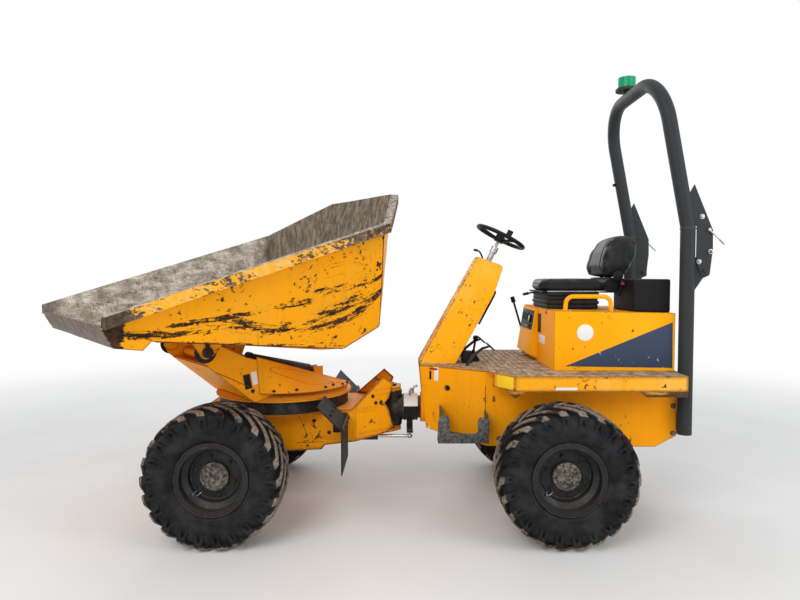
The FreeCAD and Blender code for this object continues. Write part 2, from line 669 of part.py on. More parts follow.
edge_rear = block("FenderRear", "-fender_end", "rear_half + plate", "deck_height - fender_drop",
                  "deck_plate", "fender_half - rear_half - plate", "fender_drop - 1")
deck_edges = fuse("DeckEdges", [edge_side, edge_corner, edge_rear])
bay = block("EngineBay", "-bay_rear", "-bay_half", "deck_height - 50",
            "bay_rear - bay_front", "2*bay_half", "100")
node(cut("Deck", fuse("DeckWhole", [deck_sheet, pair("DeckEdgePair", deck_edges)]), bay), "rear_deck")

# Boarding steps: a tread with two upright hangers on each flank of the nose
step_tread = prism("StepTread", "XY", [
    ("-nose_fold + step_long", "rear_half - 170"), ("-nose_fold", "rear_half + 12"),
    ("-nose_fold", "rear_half + step_wide"), ("-nose_fold + step_long + 30", "rear_half")],
    "chassis_base + step_rise", "8")
step_hanger_rear = block("StepHangerRear", "-nose_fold", "rear_half", "chassis_base + step_rise",
                         "8", "step_wide", "180")
step_hanger_front = block("StepHangerFront", "-nose_fold + step_long", "rear_half - 168",
                          "chassis_base + step_rise", "8", "step_wide + 45", "180")
step_side = fuse("StepSide", [step_tread, step_hanger_rear, step_hanger_front])
node(step_side, "step_left")
node(mirrored("StepSideOther", step_side), "step_right")

# Centre pivot: tube in the rear bearing, knuckle on the vertical pin
pivot_tube = rod("PivotTube", "X", "-pivot_reach", "0", "pivot_height", "pivot_tube", "pivot_reach")
knuckle = rod("Knuckle", "Z", "0", "0", "ear_low + ear_plate + ear_gap", "knuckle_radius",
              "ear_high - ear_low - ear_plate - 2*ear_gap")
steer_pin = rod("SteerPin", "Z", "0", "0", "ear_low - 12", "steer_pin", "ear_high - ear_low + ear_plate + 24")
collar = rod("PivotCollar", "X", "-nose_tip + 20", "0", "pivot_height", "pivot_tube + 12", "nose_tip - 90")
steer_arm = block("SteerArm", "steer_eye_x - 22", "0", "steer_ram_height + 26", "44", "steer_eye_y + 22", "14")
steer_drop = block("SteerDrop", "steer_eye_x - 22", "-20", "steer_ram_height + 26", "44", "60",
                   "pivot_height - steer_ram_height - pivot_tube")
steer_stub = rod("SteerStub", "Z", "steer_eye_x", "steer_eye_y", "steer_ram_height + 22", "9", "6")
node(fuse("CentrePivot", [pivot_tube, knuckle, steer_pin, collar, steer_arm, steer_drop, steer_stub]),
     "centre_pivot")

# Front chassis: side plates with horn-shaped tails, ears for the pin, top plate under the ring
front_shape = prism("FrontSideShape", "XZ", [
    ("-9", "ear_high + 64"), ("23", "ear_high - 38"), ("46", "ear_high - 72"), ("26", "ear_high - 110"),
    ("-8", "ear_low + 40"), ("60", "ear_low"), ("front_fold + 208", "chassis_base - 26"),
    ("front_fold + 230", "chassis_base - 55"), ("front_fold + 480", "chassis_base - 68"),
    ("front_fold + 620", "chassis_base"), ("front_end", "chassis_base"), ("front_end", "front_top"),
    ("front_fold + 50", "front_top"), ("62", "ear_high + 119"),
], "front_half + 20", "front_half + 20")
front_slab = prism("FrontSlab", "XY", [
    ("-20", "tail_half - 14"),
    ("front_fold", "front_half"),
    ("front_end + 5", "front_half"),
    ("front_end + 5", "front_half - plate"),
    ("front_fold + 4", "front_half - plate"),
    ("-20", "tail_half - 28"),
], "400", "600")
front_side = common("FrontSide", front_shape, front_slab)
top_plate = prism("FrontTop", "XY", [
    ("110", "-205"), ("front_fold", "-front_half"), ("front_end", "-front_half"),
    ("front_end", "front_half"), ("front_fold", "front_half"), ("110", "205")], "front_top", "plate")
ring_plate = rod("RingPlate", "Z", "swivel_centre", "0", "front_top", "ring_radius + 6", "plate")
front_plate = block("FrontEnd", "front_end - plate", "-(front_half - 1)", "chassis_base",
                    "plate", "2*(front_half - 1)", "front_top - chassis_base + 1")
front_bulkhead = block("FrontBulkhead", "front_fold", "-(front_half - 1)", "ear_low",
                       "plate", "2*(front_half - 1)", "front_top - ear_low + 1")
belly = block("BellyPlate", "front_fold + 230", "-(front_half - 1)", "chassis_base - 54", "380", "2*(front_half - 1)", "8")
ear_outline = [
    ("-62", "-62"), ("-10", "-(tail_half - 20)"), ("front_fold + 4", "-(front_half - 6)"),
    ("front_fold + 4", "front_half - 6"), ("-10", "tail_half - 20"), ("-62", "62")]
lower_ear = prism("LowerEar", "XY", ear_outline, "ear_low", "ear_plate")
upper_ear_outline = ear_outline[:2] + [("130", "-218"), ("130", "218")] + ear_outline[4:]
upper_ear = prism("UpperEar", "XY", upper_ear_outline, "ear_high", "ear_plate")
front_weldment = fuse("FrontWeldment", [
    pair("FrontSides", front_side), top_plate, ring_plate, front_plate, front_bulkhead,
    belly, lower_ear, upper_ear,
    block("SteerBed", "steer_foot_x - 60", "-(front_half - 1)", "steer_ram_height + 35", "120",
          "2*(front_half - 1)", "plate"),
    rod("SteerLug", "Z", "steer_foot_x", "steer_foot_y", "steer_ram_height - 34", "steer_lug", "71")])
pin_bore = rod("PinBore", "Z", "0", "0", "ear_low - 50", "steer_pin + fit", "ear_high - ear_low + 200")
ring_hole = rod("RingHole", "Z", "swivel_centre", "0", "front_top - 50", "ring_bore - 20", "120")
node(cut("FrontChassis", front_weldment, fuse("FrontBores", [pin_bore, ring_hole])), "front_chassis")

# Mudguards and rubber flaps behind the front wheels
guard = prism("Guard", "XZ", [
    ("front_fold + 202", "front_top + 124"), ("front_fold + 60", "front_top - 18"),
    ("front_fold + 60", "front_top - 24"), ("front_fold + 66", "front_top - 24"),
    ("front_fold + 206", "front_top + 117")], "flap_half", "flap_half - front_half - guard_gap")
guard_arm = block("GuardArm", "front_fold + 60", "front_half", "front_top - 100", "60",
                  "guard_gap + 20", "95")
guard_side = fuse("GuardSide", [guard, guard_arm])
node(guard_side, "mudguard_left")
node(mirrored("GuardSideOther", guard_side), "mudguard_right")
flap = block("Flap", "front_fold + 60 - seat_gap - flap_gauge", "front_half + 12", "front_top - 5 - flap_tall",
             "flap_gauge", "flap_half - front_half - 12", "flap_tall")
node(flap, "mud_flap_left")
node(mirrored("FlapOther", flap), "mud_flap_right")

# Slew ring: fixed lower race and turning upper race
lower_race = lathe("LowerRace", [
    ("front_top + plate", "ring_bore"),
    ("front_top + plate", "ring_radius"),
    ("front_top + plate + ring_tall", "ring_radius"),
    ("front_top + plate + ring_tall", "ring_bore"),
], upright=True)
node(at(lower_race, x="swivel_centre"), "slew_ring_lower")
upper_race = lathe("UpperRace", [
    ("front_top + plate + ring_tall + seat_gap", "ring_bore"),
    ("front_top + plate + ring_tall + seat_gap", "ring_radius"),
    ("front_top + plate + ring_tall + ring_cap", "ring_radius"),
    ("front_top + plate + ring_tall + ring_cap", "ring_bore"),
], upright=True)
node(on_swivel(upper_race), "slew_ring_upper")

# Swivel frame: crowned table, two cheeks that rise to the tipping pin, sloping front plate
table = lathe("Table", [
    ("table_height", "ring_bore - 40"),
    ("table_height", "table_radius"),
    ("table_height + table_rim", "table_radius"),
    ("table_height + table_rise", "cheek_half + 30"),
    ("table_height + table_rise", "ring_bore - 40"),
], upright=True)
cheek_plate = prism("Cheek", "XZ", [
    ("-330", "table_height + 14"),
    ("-150", "table_height + 6"),
    ("390", "table_height + 8"),
    ("tip_reach + 22", "tip_height - 60"),
    ("tip_reach + 40", "tip_height - 10"),
    ("tip_reach + 12", "tip_height + 40"),
    ("tip_reach - 90", "tip_height + 34"),
    ("440", "tip_height - 55"),
    ("-330", "table_height + 62"),
], "cheek_half", "cheek")
cheek_boss = rod("CheekBoss", "Y", "tip_reach", "cheek_half - cheek - 10", "tip_height", "tip_boss", "cheek + 20")
slope_plate = prism("SlopePlate", "XZ", [
    ("370", "table_height + 8"), ("390", "table_height + 8"),
    ("tip_reach - 12", "tip_height - 92"), ("tip_reach - 28", "tip_height - 84")],
    "cheek_half - 1", "2*cheek_half - 2")
tie_tube = rod("TieTube", "Y", "tip_reach - 110", "-(cheek_half - 1)", "tip_height - 60", "30", "2*cheek_half - 2")
foot_lug = block("FootLug", "ram_foot_reach - 40", "ram_eye_wide/2 + 1", "table_height + 8", "80", "16",
                 "ram_foot_rise + 32")
foot_bed = block("FootBed", "ram_foot_reach - 60", "-(cheek_half - 1)", "table_height", "120",
                 "2*cheek_half - 2", "20")
cheek_pin = rod("CheekPin", "Y", "tip_reach", "cheek_half - 5", "tip_height", "tip_pin", "45")
foot_pin = rod("FootPin", "Y", "ram_foot_reach", "-(ram_eye_wide/2 + 12)", "ram_foot_height", "ram_pin",
               "ram_eye_wide + 24")
swivel_weldment = fuse("SwivelWeldment", [
    table, pair("Cheeks", fuse("CheekSide", [cheek_plate, cheek_boss, cheek_pin])), slope_plate, tie_tube,
    pair("FootLugs", foot_lug), foot_bed, foot_pin])
node(on_swivel(swivel_weldment), "swivel_frame")


def skip_shape():
    """The open tub: outer and inner skins through the same corners, joined along the rim."""
    gauge = size("skip_gauge")
    half, base, front_half = size("skip_half"), size("skip_base_half"), size("skip_front_half")
    front, rear, back = size("skip_front"), -size("skip_side_rear"), -size("skip_back")
    back_half = size("skip_back_half")
    floor_rear, floor_front = size("floor_rear_height"), size("floor_front_height")
    drop = size("keel_drop")
    # Left half of the tub: name, ahead of the swivel axis, to the left, height
    left = {
        "rim_front": (front, front_half, size("rim_front_height")),
        "rim_rear": (rear, half, size("rim_rear_height")),
        "rim_back": (back, back_half, size("rim_back_height")),
        "back_foot": (back + size("back_slope"), back_half - 40, floor_rear + size("foot_rise") + 8),
        "side_foot": (rear - 20, base + 20, floor_rear + size("foot_rise")),
        "floor_rear": (-size("floor_rear_reach"), base, floor_rear),
        "keel_rear": (-size("floor_rear_reach"), size("keel_half"), floor_rear - drop),
        "floor_front": (size("floor_front_reach"), size("floor_front_half"), floor_front),
        "keel_front": (size("keel_front_reach"), size("keel_front_half"), floor_front - drop - 8),
        "lip": (front + 5, front_half - 10, size("lip_height")),
    }
    # Panels by their corners; a point named with a minus lies on the right
    side_panels = [
        ("rim_rear", "rim_front", "lip", "floor_front"),
        ("rim_rear", "floor_front", "floor_rear"),
        ("rim_rear", "floor_rear", "side_foot"),
        ("rim_back", "rim_rear", "side_foot", "back_foot"),
        ("back_foot", "side_foot", "floor_rear", "keel_rear"),
        ("floor_rear", "floor_front", "keel_front", "keel_rear"),
        ("floor_front", "lip", "keel_front"),
    ]
    middle_panels = [
        ("rim_back", "back_foot", "-back_foot", "-rim_back"),
        ("back_foot", "keel_rear", "-keel_rear", "-back_foot"),
        ("keel_rear", "keel_front", "-keel_front", "-keel_rear"),
        ("keel_front", "lip", "-lip", "-keel_front"),
    ]
    points = {}
    for name, (along, across, height) in left.items():
        points[name] = Vector(along, across, height)
        points["-" + name] = Vector(along, -across, height)
    triangles = []
    for panel in side_panels:
        for index in range(1, len(panel) - 1):
            triangles.append((panel[0], panel[index], panel[index + 1]))
            triangles.append(("-" + panel[0], "-" + panel[index + 1], "-" + panel[index]))
    for panel in middle_panels:
        for index in range(1, len(panel) - 1):
            triangles.append((panel[0], panel[index], panel[index + 1]))
    # The inner skin: every corner moves inwards until it is one gauge from its panels
    centre = Vector(front / 4, 0, (size("rim_rear_height") + floor_front) / 2 + 86)
    inner = {}
    for name, point in points.items():
        normals = []
        for corners in triangles:
            if name in corners:
                first, second, third = (points[corner] for corner in corners)
                normal = (second - first).cross(third - first).normalize()
                if normal.dot(centre - first) < 0:
                    normal = normal * -1
                if all(normal.getAngle(other) > 0.02 for other in normals):
                    normals.append(normal)
        mean = Vector(0, 0, 0)
        for normal in normals:
            mean = mean + normal
        mean.normalize()
        nearest = min(mean.dot(normal) for normal in normals)
        inner[name] = point + mean * (gauge / max(nearest, 0.45))
    faces = []
    for skin in (points, inner):
        for corners in triangles:
            faces.append(Part.Face(Part.makePolygon([skin[corner] for corner in corners + (corners[0],)])))
    edge = ["lip", "rim_front", "rim_rear", "rim_back", "-rim_back", "-rim_rear", "-rim_front", "-lip", "lip"]
    for first, second in zip(edge, edge[1:]):
        strip = [(points[first], points[second], inner[second]), (points[first], inner[second], inner[first])]
        for corners in strip:
            faces.append(Part.Face(Part.makePolygon(list(corners) + [corners[0]])))
    shell = Part.Shell(faces)
    tub = Part.Solid(shell)
    if tub.Volume < 0:
        tub.reverse()
    return tub, points


def rim_bars(points):
    """The bar welded along the outside of the rim, mitred at its corners."""
    wide, deep = size("rim_bar"), size("rim_deep")
    names = ["rim_front", "rim_rear", "rim_back", "-rim_back", "-rim_rear", "-rim_front"]
    # How far each corner of the bar stands out, ahead and sideways, as shares of its width
    outward = {"rim_front": (0, 1), "rim_rear": (-0.42, 1), "rim_back": (-1, 0.42)}
    sections = []
    for name in names:
        ahead, across = outward[name.lstrip("-")]
        side = -1 if name.startswith("-") else 1
        inset = size("skip_gauge") / 2
        inside = points[name] - Vector(ahead * inset, side * across * inset, 0)
        outside = points[name] + Vector(ahead * wide, side * across * wide, 0)
        down = Vector(0, 0, -deep)
        sections.append([inside, outside, outside + down, inside + down])
    faces = []
    for first, second in zip(sections, sections[1:]):
        for index in range(4):
            following = (index + 1) % 4
            quad = [first[index], first[following], second[following], second[index]]
            faces.append(Part.Face(Part.makePolygon([quad[0], quad[1], quad[2], quad[0]])))
            faces.append(Part.Face(Part.makePolygon([quad[0], quad[2], quad[3], quad[0]])))
    for section in (sections[0], sections[-1]):
        faces.append(Part.Face(Part.makePolygon([section[0], section[1], section[2], section[0]])))
        faces.append(Part.Face(Part.makePolygon([section[0], section[2], section[3], section[0]])))
    bar = Part.Solid(Part.Shell(faces))
    if bar.Volume < 0:
        bar.reverse()
    return bar


tub_shape, tub_points = skip_shape()
tub = shaped("Tub", tub_shape)
rim_bar = shaped("RimBar", rim_bars(tub_points))
# Brackets under the floor: tipping ears outside the cheeks, and the ears for the ram's eye
tip_ear = prism("TipEar", "XZ", [
    ("tip_reach - 150", "tip_height + 92"), ("tip_reach - 34", "tip_height - 26"),
    ("tip_reach + 34", "tip_height - 26"), ("tip_reach + 120", "tip_height + 106")],
    "cheek_half + 16 + 16", "16")
eye_ear = prism("EyeEar", "XZ", [
    ("ram_eye_reach - 80", "ram_eye_height + 96"), ("ram_eye_reach - 34", "ram_eye_height - 30"),
    ("ram_eye_reach + 34", "ram_eye_height - 30"), ("ram_eye_reach + 90", "ram_eye_height + 116")],
    "ram_eye_wide/2 + 6 + 14", "14")
# Box under the lip: a folded plate across the skip, closed at its ends
lip_fold = prism("LipFold", "XZ", [
    ("skip_front + 5", "lip_height + 2"), ("lip_foot_reach", "lip_foot_height"),
    ("lip_rear_reach", "lip_rear_height"), ("lip_rear_reach - 49", "lip_rear_height + 49"),
    ("lip_rear_reach - 37", "lip_rear_height + 49"), ("lip_rear_reach + 4", "lip_rear_height + skip_gauge + 1"),
    ("lip_foot_reach - 6", "lip_foot_height + skip_gauge"), ("skip_front - 5", "lip_height - 2")],
    "skip_front_half - 13", "2*(skip_front_half - 13)")
lip_end = prism("LipEnd", "XZ", [
    ("skip_front + 5", "lip_height + 2"), ("lip_foot_reach", "lip_foot_height"),
    ("lip_rear_reach", "lip_rear_height"), ("lip_rear_reach - 49", "lip_rear_height + 49")],
    "skip_front_half - 12", "skip_gauge")
skip_brackets = fuse("SkipBrackets", [
    pair("TipEars", tip_ear), pair("EyeEars", eye_ear), lip_fold, pair("LipEnds", lip_end)])
skip_bores = fuse("SkipBores", [
    rod("TipEarBore", "Y", "tip_reach", "-500", "tip_height", "tip_pin + fit", "1000"),
    rod("EyeEarBore", "Y", "ram_eye_reach", "-200", "ram_eye_height", "ram_pin", "400")])
skip = fuse("Skip", [tub, rim_bar, cut("SkipEars", skip_brackets, skip_bores)])
node(on_swivel(skip), "skip")


def ram_frame():
    """Placement of the tipping ram: its axis runs from the foot to the eye."""
    foot = Vector(size("ram_foot_reach"), 0, size("ram_foot_height"))
    eye = Vector(size("ram_eye_reach"), 0, size("ram_eye_height"))
    turn = Placement(Vector(size("swivel_centre"), 0, 0), Rotation(Vector(0, 0, 1), size("skip_turn")))
    pitch = math.degrees(math.atan2(eye.z - foot.z, eye.x - foot.x))
    lean = Placement(foot, Rotation(Vector(0, 1, 0), -pitch))
    return turn.multiply(lean), (eye - foot).Length


def eye_ring(reach):
    """A ram's eye: a short tube across the ram, bored for its pin."""
    wide = size("ram_eye_wide")
    ring = Part.makeCylinder(size("ram_eye"), wide, Vector(reach, -wide / 2, 0), Vector(0, 1, 0))
    bore = Part.makeCylinder(size("ram_pin") + size("fit"), wide, Vector(reach, -wide / 2, 0), Vector(0, 1, 0))
    return ring, bore


def tipping_ram():
    """Barrel and rod of the tipping ram along +X from the foot at the origin."""
    where, length = ram_frame()
    ring, bore = eye_ring(0)
    barrel_long = length - 105
    reach = size("neck_reach")
    barrel = Part.makeCylinder(size("ram_barrel"), barrel_long - reach, Vector(reach, 0, 0), Vector(1, 0, 0))
    neck = Part.makeCylinder(size("neck_radius"), reach - 20, Vector(22, 0, 0), Vector(1, 0, 0))
    gland = Part.makeCylinder(size("ram_barrel") + 6, 30, Vector(barrel_long - 30, 0, 0), Vector(1, 0, 0))
    hollow = Part.makeCylinder(size("ram_rod") + size("fit"), barrel_long - 74, Vector(74, 0, 0), Vector(1, 0, 0))
    body = barrel.fuse([gland, ring, neck]).cut(hollow).cut(bore).removeSplitter()
    end_ring, end_bore = eye_ring(length)
    shaft = Part.makeCylinder(size("ram_rod"), length - 100, Vector(85, 0, 0), Vector(1, 0, 0))
    rod_body = shaft.fuse(end_ring).cut(end_bore).removeSplitter()
    return where, body, rod_body


ram_place, barrel_shape, rod_shape = tipping_ram()
for name, shape, label in (("TipBarrel", barrel_shape, "tip_ram_barrel"), ("TipRod", rod_shape, "tip_ram_rod")):
    piece = shaped(name, shape)
    piece.Placement = ram_place
    node(piece, label)


def steering_ram():
    """Barrel and rod of the steering ram, lying under the pin between the chassis halves."""
    height = size("steer_ram_height")
    foot = Vector(size("steer_foot_x"), size("steer_foot_y"), height)
    eye = Vector(size("steer_eye_x"), size("steer_eye_y"), height)
    way = (eye - foot).normalize()
    length = (eye - foot).Length
    down = Vector(0, 0, 22)
    barrel = Part.makeCylinder(size("steer_barrel"), 275, foot + way * 25, way)
    ring = Part.makeCylinder(30, 44, foot - down, Vector(0, 0, 1))
    pin_bore = Part.makeCylinder(size("steer_lug") + size("fit"), 44, foot - down, Vector(0, 0, 1))
    hollow = Part.makeCylinder(size("steer_rod") + size("fit"), 260, foot + way * 50, way)
    body = barrel.fuse(ring).cut(hollow).cut(pin_bore).removeSplitter()
    shaft = Part.makeCylinder(size("steer_rod"), length - 120, foot + way * 120, way)
    ball = Part.makeSphere(18, eye)
    return body, shaft.fuse(ball).removeSplitter()


steer_barrel, steer_rod = steering_ram()
node(shaped("SteerBarrel", steer_barrel), "steering_ram_barrel")
node(shaped("SteerRod", steer_rod), "steering_ram_rod")

# Engine block on its cross beams, one plain mass
node(block("Engine", "-engine_rear", "-engine_half", "chassis_base + 70", "engine_long", "2*engine_half",
           "engine_tall"), "engine_block")

# Engine cover: a box of sheet, open below, whose top carries the seat
cover_outer = prism("CoverOuter", "XZ", [
    ("-cover_front", "deck_height + seat_gap"), ("-cover_rear", "deck_height + seat_gap"),
    ("-cover_rear", "cover_height - cover_fall"), ("-cover_front", "cover_height")],
    "cover_half", "2*cover_half")
cover_inner = prism("CoverInner", "XZ", [
    ("-cover_front - cover_gauge", "deck_height - 20"), ("-cover_rear + cover_gauge", "deck_height - 20"),
    ("-cover_rear + cover_gauge", "cover_height - cover_fall - cover_gauge"),
    ("-cover_front - cover_gauge", "cover_height - cover_gauge")],
    "cover_half - cover_gauge", "2*(cover_half - cover_gauge)")


def grab_handle():
    """A bent tube along the top edge of the engine cover."""
    top = size("cover_height") - 11
    across = size("cover_half") - 27
    crown = size("cover_height") + size("handle_tall")
    start = -size("cover_front") - size("handle_start")
    end = start - size("handle_long")
    route = [Vector(start, across, top), Vector(start - 8, across, crown),
             Vector(end + 6, across, crown), Vector(end, across, top)]
    return bent_tube(route, [48, 48], 14)


handles = pair("Handles", shaped("Handle", grab_handle()))
node(fuse("Cover", [cut("CoverBox", cover_outer, cover_inner), handles]), "engine_cover")

# Seat: suspension box, cushion and backrest
seat_base = block("SeatBase", "-cushion_rear + 50", "-(cushion_half - 25)", "cover_height + seat_gap",
                  "cushion_rear - cushion_front - 110", "2*(cushion_half - 25)", "seat_rise - 7")
seat_pan = prism("SeatPan", "XZ", [
    ("-cushion_front - 25", "seat_base - 12"), ("-cushion_front - 25", "seat_base + 0.3"),
    ("-cushion_rear - 0.3", "seat_base + 0.3"), ("-cushion_rear - 0.3", "seat_base + 62"),
    ("-cushion_rear - 40", "back_foot - 0.3"), ("-box_front + 4", "back_foot - 0.3"),
    ("-cushion_rear - 90", "seat_base - 12")], "back_half - 20", "2*back_half - 40")
node(fuse("SeatSuspension", [seat_base, seat_pan]), "seat_suspension")
cushion_side = prism("CushionSide", "XZ", [
    ("-cushion_front", "seat_base + 24"), ("-cushion_front - 22", "seat_base + cushion_deep - 4"),
    ("-cushion_rear + 50", "seat_base + cushion_deep"), ("-cushion_rear + 10", "seat_base + cushion_deep - 22"),
    ("-cushion_rear + 10", "seat_base + 0.6"), ("-cushion_front - 12", "seat_base + 0.6")],
    "cushion_half", "2*cushion_half")
cushion_half_plan = [
    ("-cushion_front", "cushion_half - 1.6*cushion_corner"), ("-cushion_front - 0.55*cushion_corner",
     "cushion_half - 0.45*cushion_corner"), ("-cushion_front - 1.6*cushion_corner", "cushion_half"),
    ("-cushion_rear", "cushion_half - 12")]
cushion_plan = prism("CushionPlan", "XY", cushion_half_plan + [
    (x, "-(" + y + ")") for x, y in reversed(cushion_half_plan)], "seat_base - 50", "300")
node(common("Cushion", cushion_side, cushion_plan), "seat_cushion")
backrest_side = prism("BackrestSide", "XZ", [
    ("-back_front - 14", "back_foot"), ("-back_front", "back_foot + 60"), ("-back_front - 30", "back_top - 130"),
    ("-back_front - 90", "back_top - 28"), ("-back_front - 150", "back_top"), ("-back_rear + 40", "back_top - 2"),
    ("-back_rear", "back_top - 45"), ("-back_rear + 20", "back_top - 160"), ("-back_rear + 110", "back_foot")],
    "back_half", "2*back_half")
backrest_half_face = [
    ("back_half - 20", "back_foot"), ("back_half", "back_foot + 70"), ("back_half - 16", "back_top - 110"),
    ("back_half - 80", "back_top - 12"), ("back_half - 130", "back_top")]
backrest_face = prism("BackrestFace", "YZ", backrest_half_face + [
    ("-(" + y + ")", z) for y, z in reversed(backrest_half_face)], "-back_rear - 20", "back_rear - back_front + 40")
node(common("Backrest", backrest_side, backrest_face), "seat_backrest")
box_rest = "cover_height - cover_fall*(%s - cover_front)/(cover_rear - cover_front) + seat_gap"
tool_box = prism("ToolBox", "XZ", [
    ("-box_rear", box_rest % "box_rear"), ("-box_front", box_rest % "box_front"),
    ("-box_front", "box_top"), ("-box_rear", "box_top")], "box_side + box_wide", "box_wide")
node(tool_box, "tool_box")

# Steering console, column and wheel
console_side = prism("ConsoleSide", "XZ", [
    ("-console_front", "deck_height"), ("-console_rear", "deck_height"),
    ("-console_rear - 144", "deck_height + 262"), ("helm_x + 65", "helm_z - 408"),
    ("helm_x - 1", "helm_z - 221"), ("helm_x + 13", "helm_z - 202"), ("helm_x + 173", "helm_z - 143")],
    "console_half", "2*console_half")
console_taper = prism("ConsoleTaper", "YZ", [
    ("-console_half", "deck_height"), ("console_half", "deck_height"),
    ("console_top_half", "helm_z - 128"), ("-console_top_half", "helm_z - 128")],
    "helm_x - 127", "127 - helm_x")
console_body = common("ConsoleBody", console_side, console_taper)


def helm_axis():
    """Direction of the steering shaft."""
    rake = math.radians(size("helm_rake"))
    return Vector(-math.sin(rake), 0, math.cos(rake))


def helm_point(along):
    """A point on the steering shaft, measured up from the wheel's centre."""
    return Vector(size("helm_x"), 0, size("helm_z")) + helm_axis() * along


def steering_column():
    """Shaft tube and universal joint from the console to the wheel."""
    axis = helm_axis()
    tube = Part.makeCylinder(20, 130, helm_point(-229.7), axis)
    joint = Part.makeCylinder(27, 44, helm_point(-126), axis)
    shaft = Part.makeCylinder(size("helm_shaft"), 148, helm_point(-150), axis)
    return tube.fuse([joint, shaft]).removeSplitter()


def steering_wheel():
    """Rim, three spokes, hub and knob."""
    axis = helm_axis()
    centre = helm_point(0)
    rim = Part.makeTorus(size("helm_radius"), size("helm_rim"), centre, axis)
    hub = Part.makeCylinder(34, 46, helm_point(-40), axis)
    pieces = [hub]
    turn = Rotation(Vector(0, 0, 1), axis)
    for angle in (0, 120, 240):
        way = turn.multVec(Rotation(Vector(0, 0, 1), angle).multVec(Vector(1, 0, 0)))
        low = helm_point(-22) + way * 20
        spoke_way = centre + way * size("helm_radius") - low
        pieces.append(Part.makeCylinder(10, spoke_way.Length, low, spoke_way))
    knob_way = turn.multVec(Rotation(Vector(0, 0, 1), 98).multVec(Vector(1, 0, 0)))
    pieces.append(Part.makeCylinder(20, 46, centre + knob_way * (size("helm_radius") - 4), axis))
    bore = Part.makeCylinder(size("helm_shaft") + size("fit"), 60, helm_point(-60), axis)
    return rim.fuse(pieces).cut(bore).removeSplitter()


column_hole = shaped("ColumnHole", Part.makeCylinder(20.1, 90, helm_point(-230), helm_axis()))
node(cut("Console", console_body, column_hole), "steering_console")
node(shaped("Column", steering_column()), "steering_column")
node(shaped("Helm", steering_wheel()), "steering_wheel")

# Controls: tall lever, low lever and pedals, fixed to the deck
lever_way = Vector(0.297, 0, 1)
lever = rod("Lever", lever_way, "-lever_foot", "-lever_across", "deck_height + 8", "lever_radius", "lever_tall")
lever_knob = rod("LeverKnob", lever_way, "-lever_foot + 0.285*(lever_tall - 30)", "-lever_across",
                 "deck_height + 8 + 0.958*(lever_tall - 30)", "2*lever_radius + 1", "46")
lever_foot = block("LeverFoot", "-lever_foot - 30", "-lever_across - 30", "deck_height", "60", "60", "24")
node(fuse("Levers", [lever, lever_knob, lever_foot]), "control_lever")
pedal_arm = prism("PedalArm", "XZ", [
    ("-pedal_foot", "deck_height"), ("-pedal_foot - 40", "deck_height + 60"),
    ("-pedal_foot - 100", "deck_height + 110"), ("-pedal_foot - 150", "deck_height + 128"),
    ("-pedal_foot - 152", "deck_height + 140"), ("-pedal_foot - 92", "deck_height + 126"),
    ("-pedal_foot - 26", "deck_height + 74"), ("-pedal_foot + 20", "deck_height")], "6", "12")
pedal_pad = prism("PedalPad", "XZ", [
    ("-pedal_foot - 120", "deck_height + 150"), ("-pedal_foot - 170", "deck_height + 104"),
    ("-pedal_foot - 178", "deck_height + 112"), ("-pedal_foot - 128", "deck_height + 158")], "40", "80")
pedal = fuse("PedalWhole", [pedal_arm, pedal_pad])
for name, side in (("left", 1), ("right", -1)):
    copy = doc.addObject("Part::Compound", "Pedal_" + name)
    copy.Links = [pedal]
    node(at(copy, y="%d*pedal_across" % side), "pedal_" + name)

# Roll hoop: fixed posts with cross beams, and the folding hoop on hinge plates
post = rod("Post", "Z", "post_x", "hoop_half", "post_foot", "hoop_tube", "post_top - post_foot - seat_gap")
cross_low = block("CrossLow", "post_x - 35", "-hoop_half", "post_foot + 20", "35 + post_gap", "2*hoop_half", "80")
cross_high = block("CrossHigh", "post_x - 35", "-hoop_half", "deck_height - 100", "35 + post_gap", "2*hoop_half", "70")
fold_lug = prism("FoldLug", "XZ", [
    ("post_x - 20", "fold_z + 110"), ("fold_x - 26", "fold_z + 30"), ("fold_x - 26", "fold_z - 28"),
    ("fold_x + 10", "fold_z - 44"), ("post_x - 20", "fold_z - 160")], "hoop_half + hinge_plate/2", "hinge_plate")
posts = fuse("PostsWhole", [pair("PostPair", fuse("PostSide", [post, fold_lug])), cross_low, cross_high])
lug_bore = rod("LugBore", "Y", "fold_x", "-600", "fold_z", "fold_pin + fit", "1200")
node(cut("Posts", posts, lug_bore), "rops_posts")


def hoop_shape():
    """The bent tube of the hoop, leaning forward, closed over the seat."""
    foot_x, foot_z = size("post_x"), size("post_top")
    half, top = size("hoop_half"), size("hoop_top")
    lean = Vector(size("hoop_lean"), 0, top - foot_z)
    left_foot, right_foot = Vector(foot_x, half, foot_z), Vector(foot_x, -half, foot_z)
    corner = size("hoop_corner")
    route = [left_foot - lean * 0.03, left_foot + lean, right_foot + lean, right_foot - lean * 0.03]
    above = Part.makeBox(2000, 2 * half + 400, 2000, Vector(foot_x - 1000, -half - 200, foot_z))
    return bent_tube(route, [corner, corner], size("hoop_tube")).common(above)


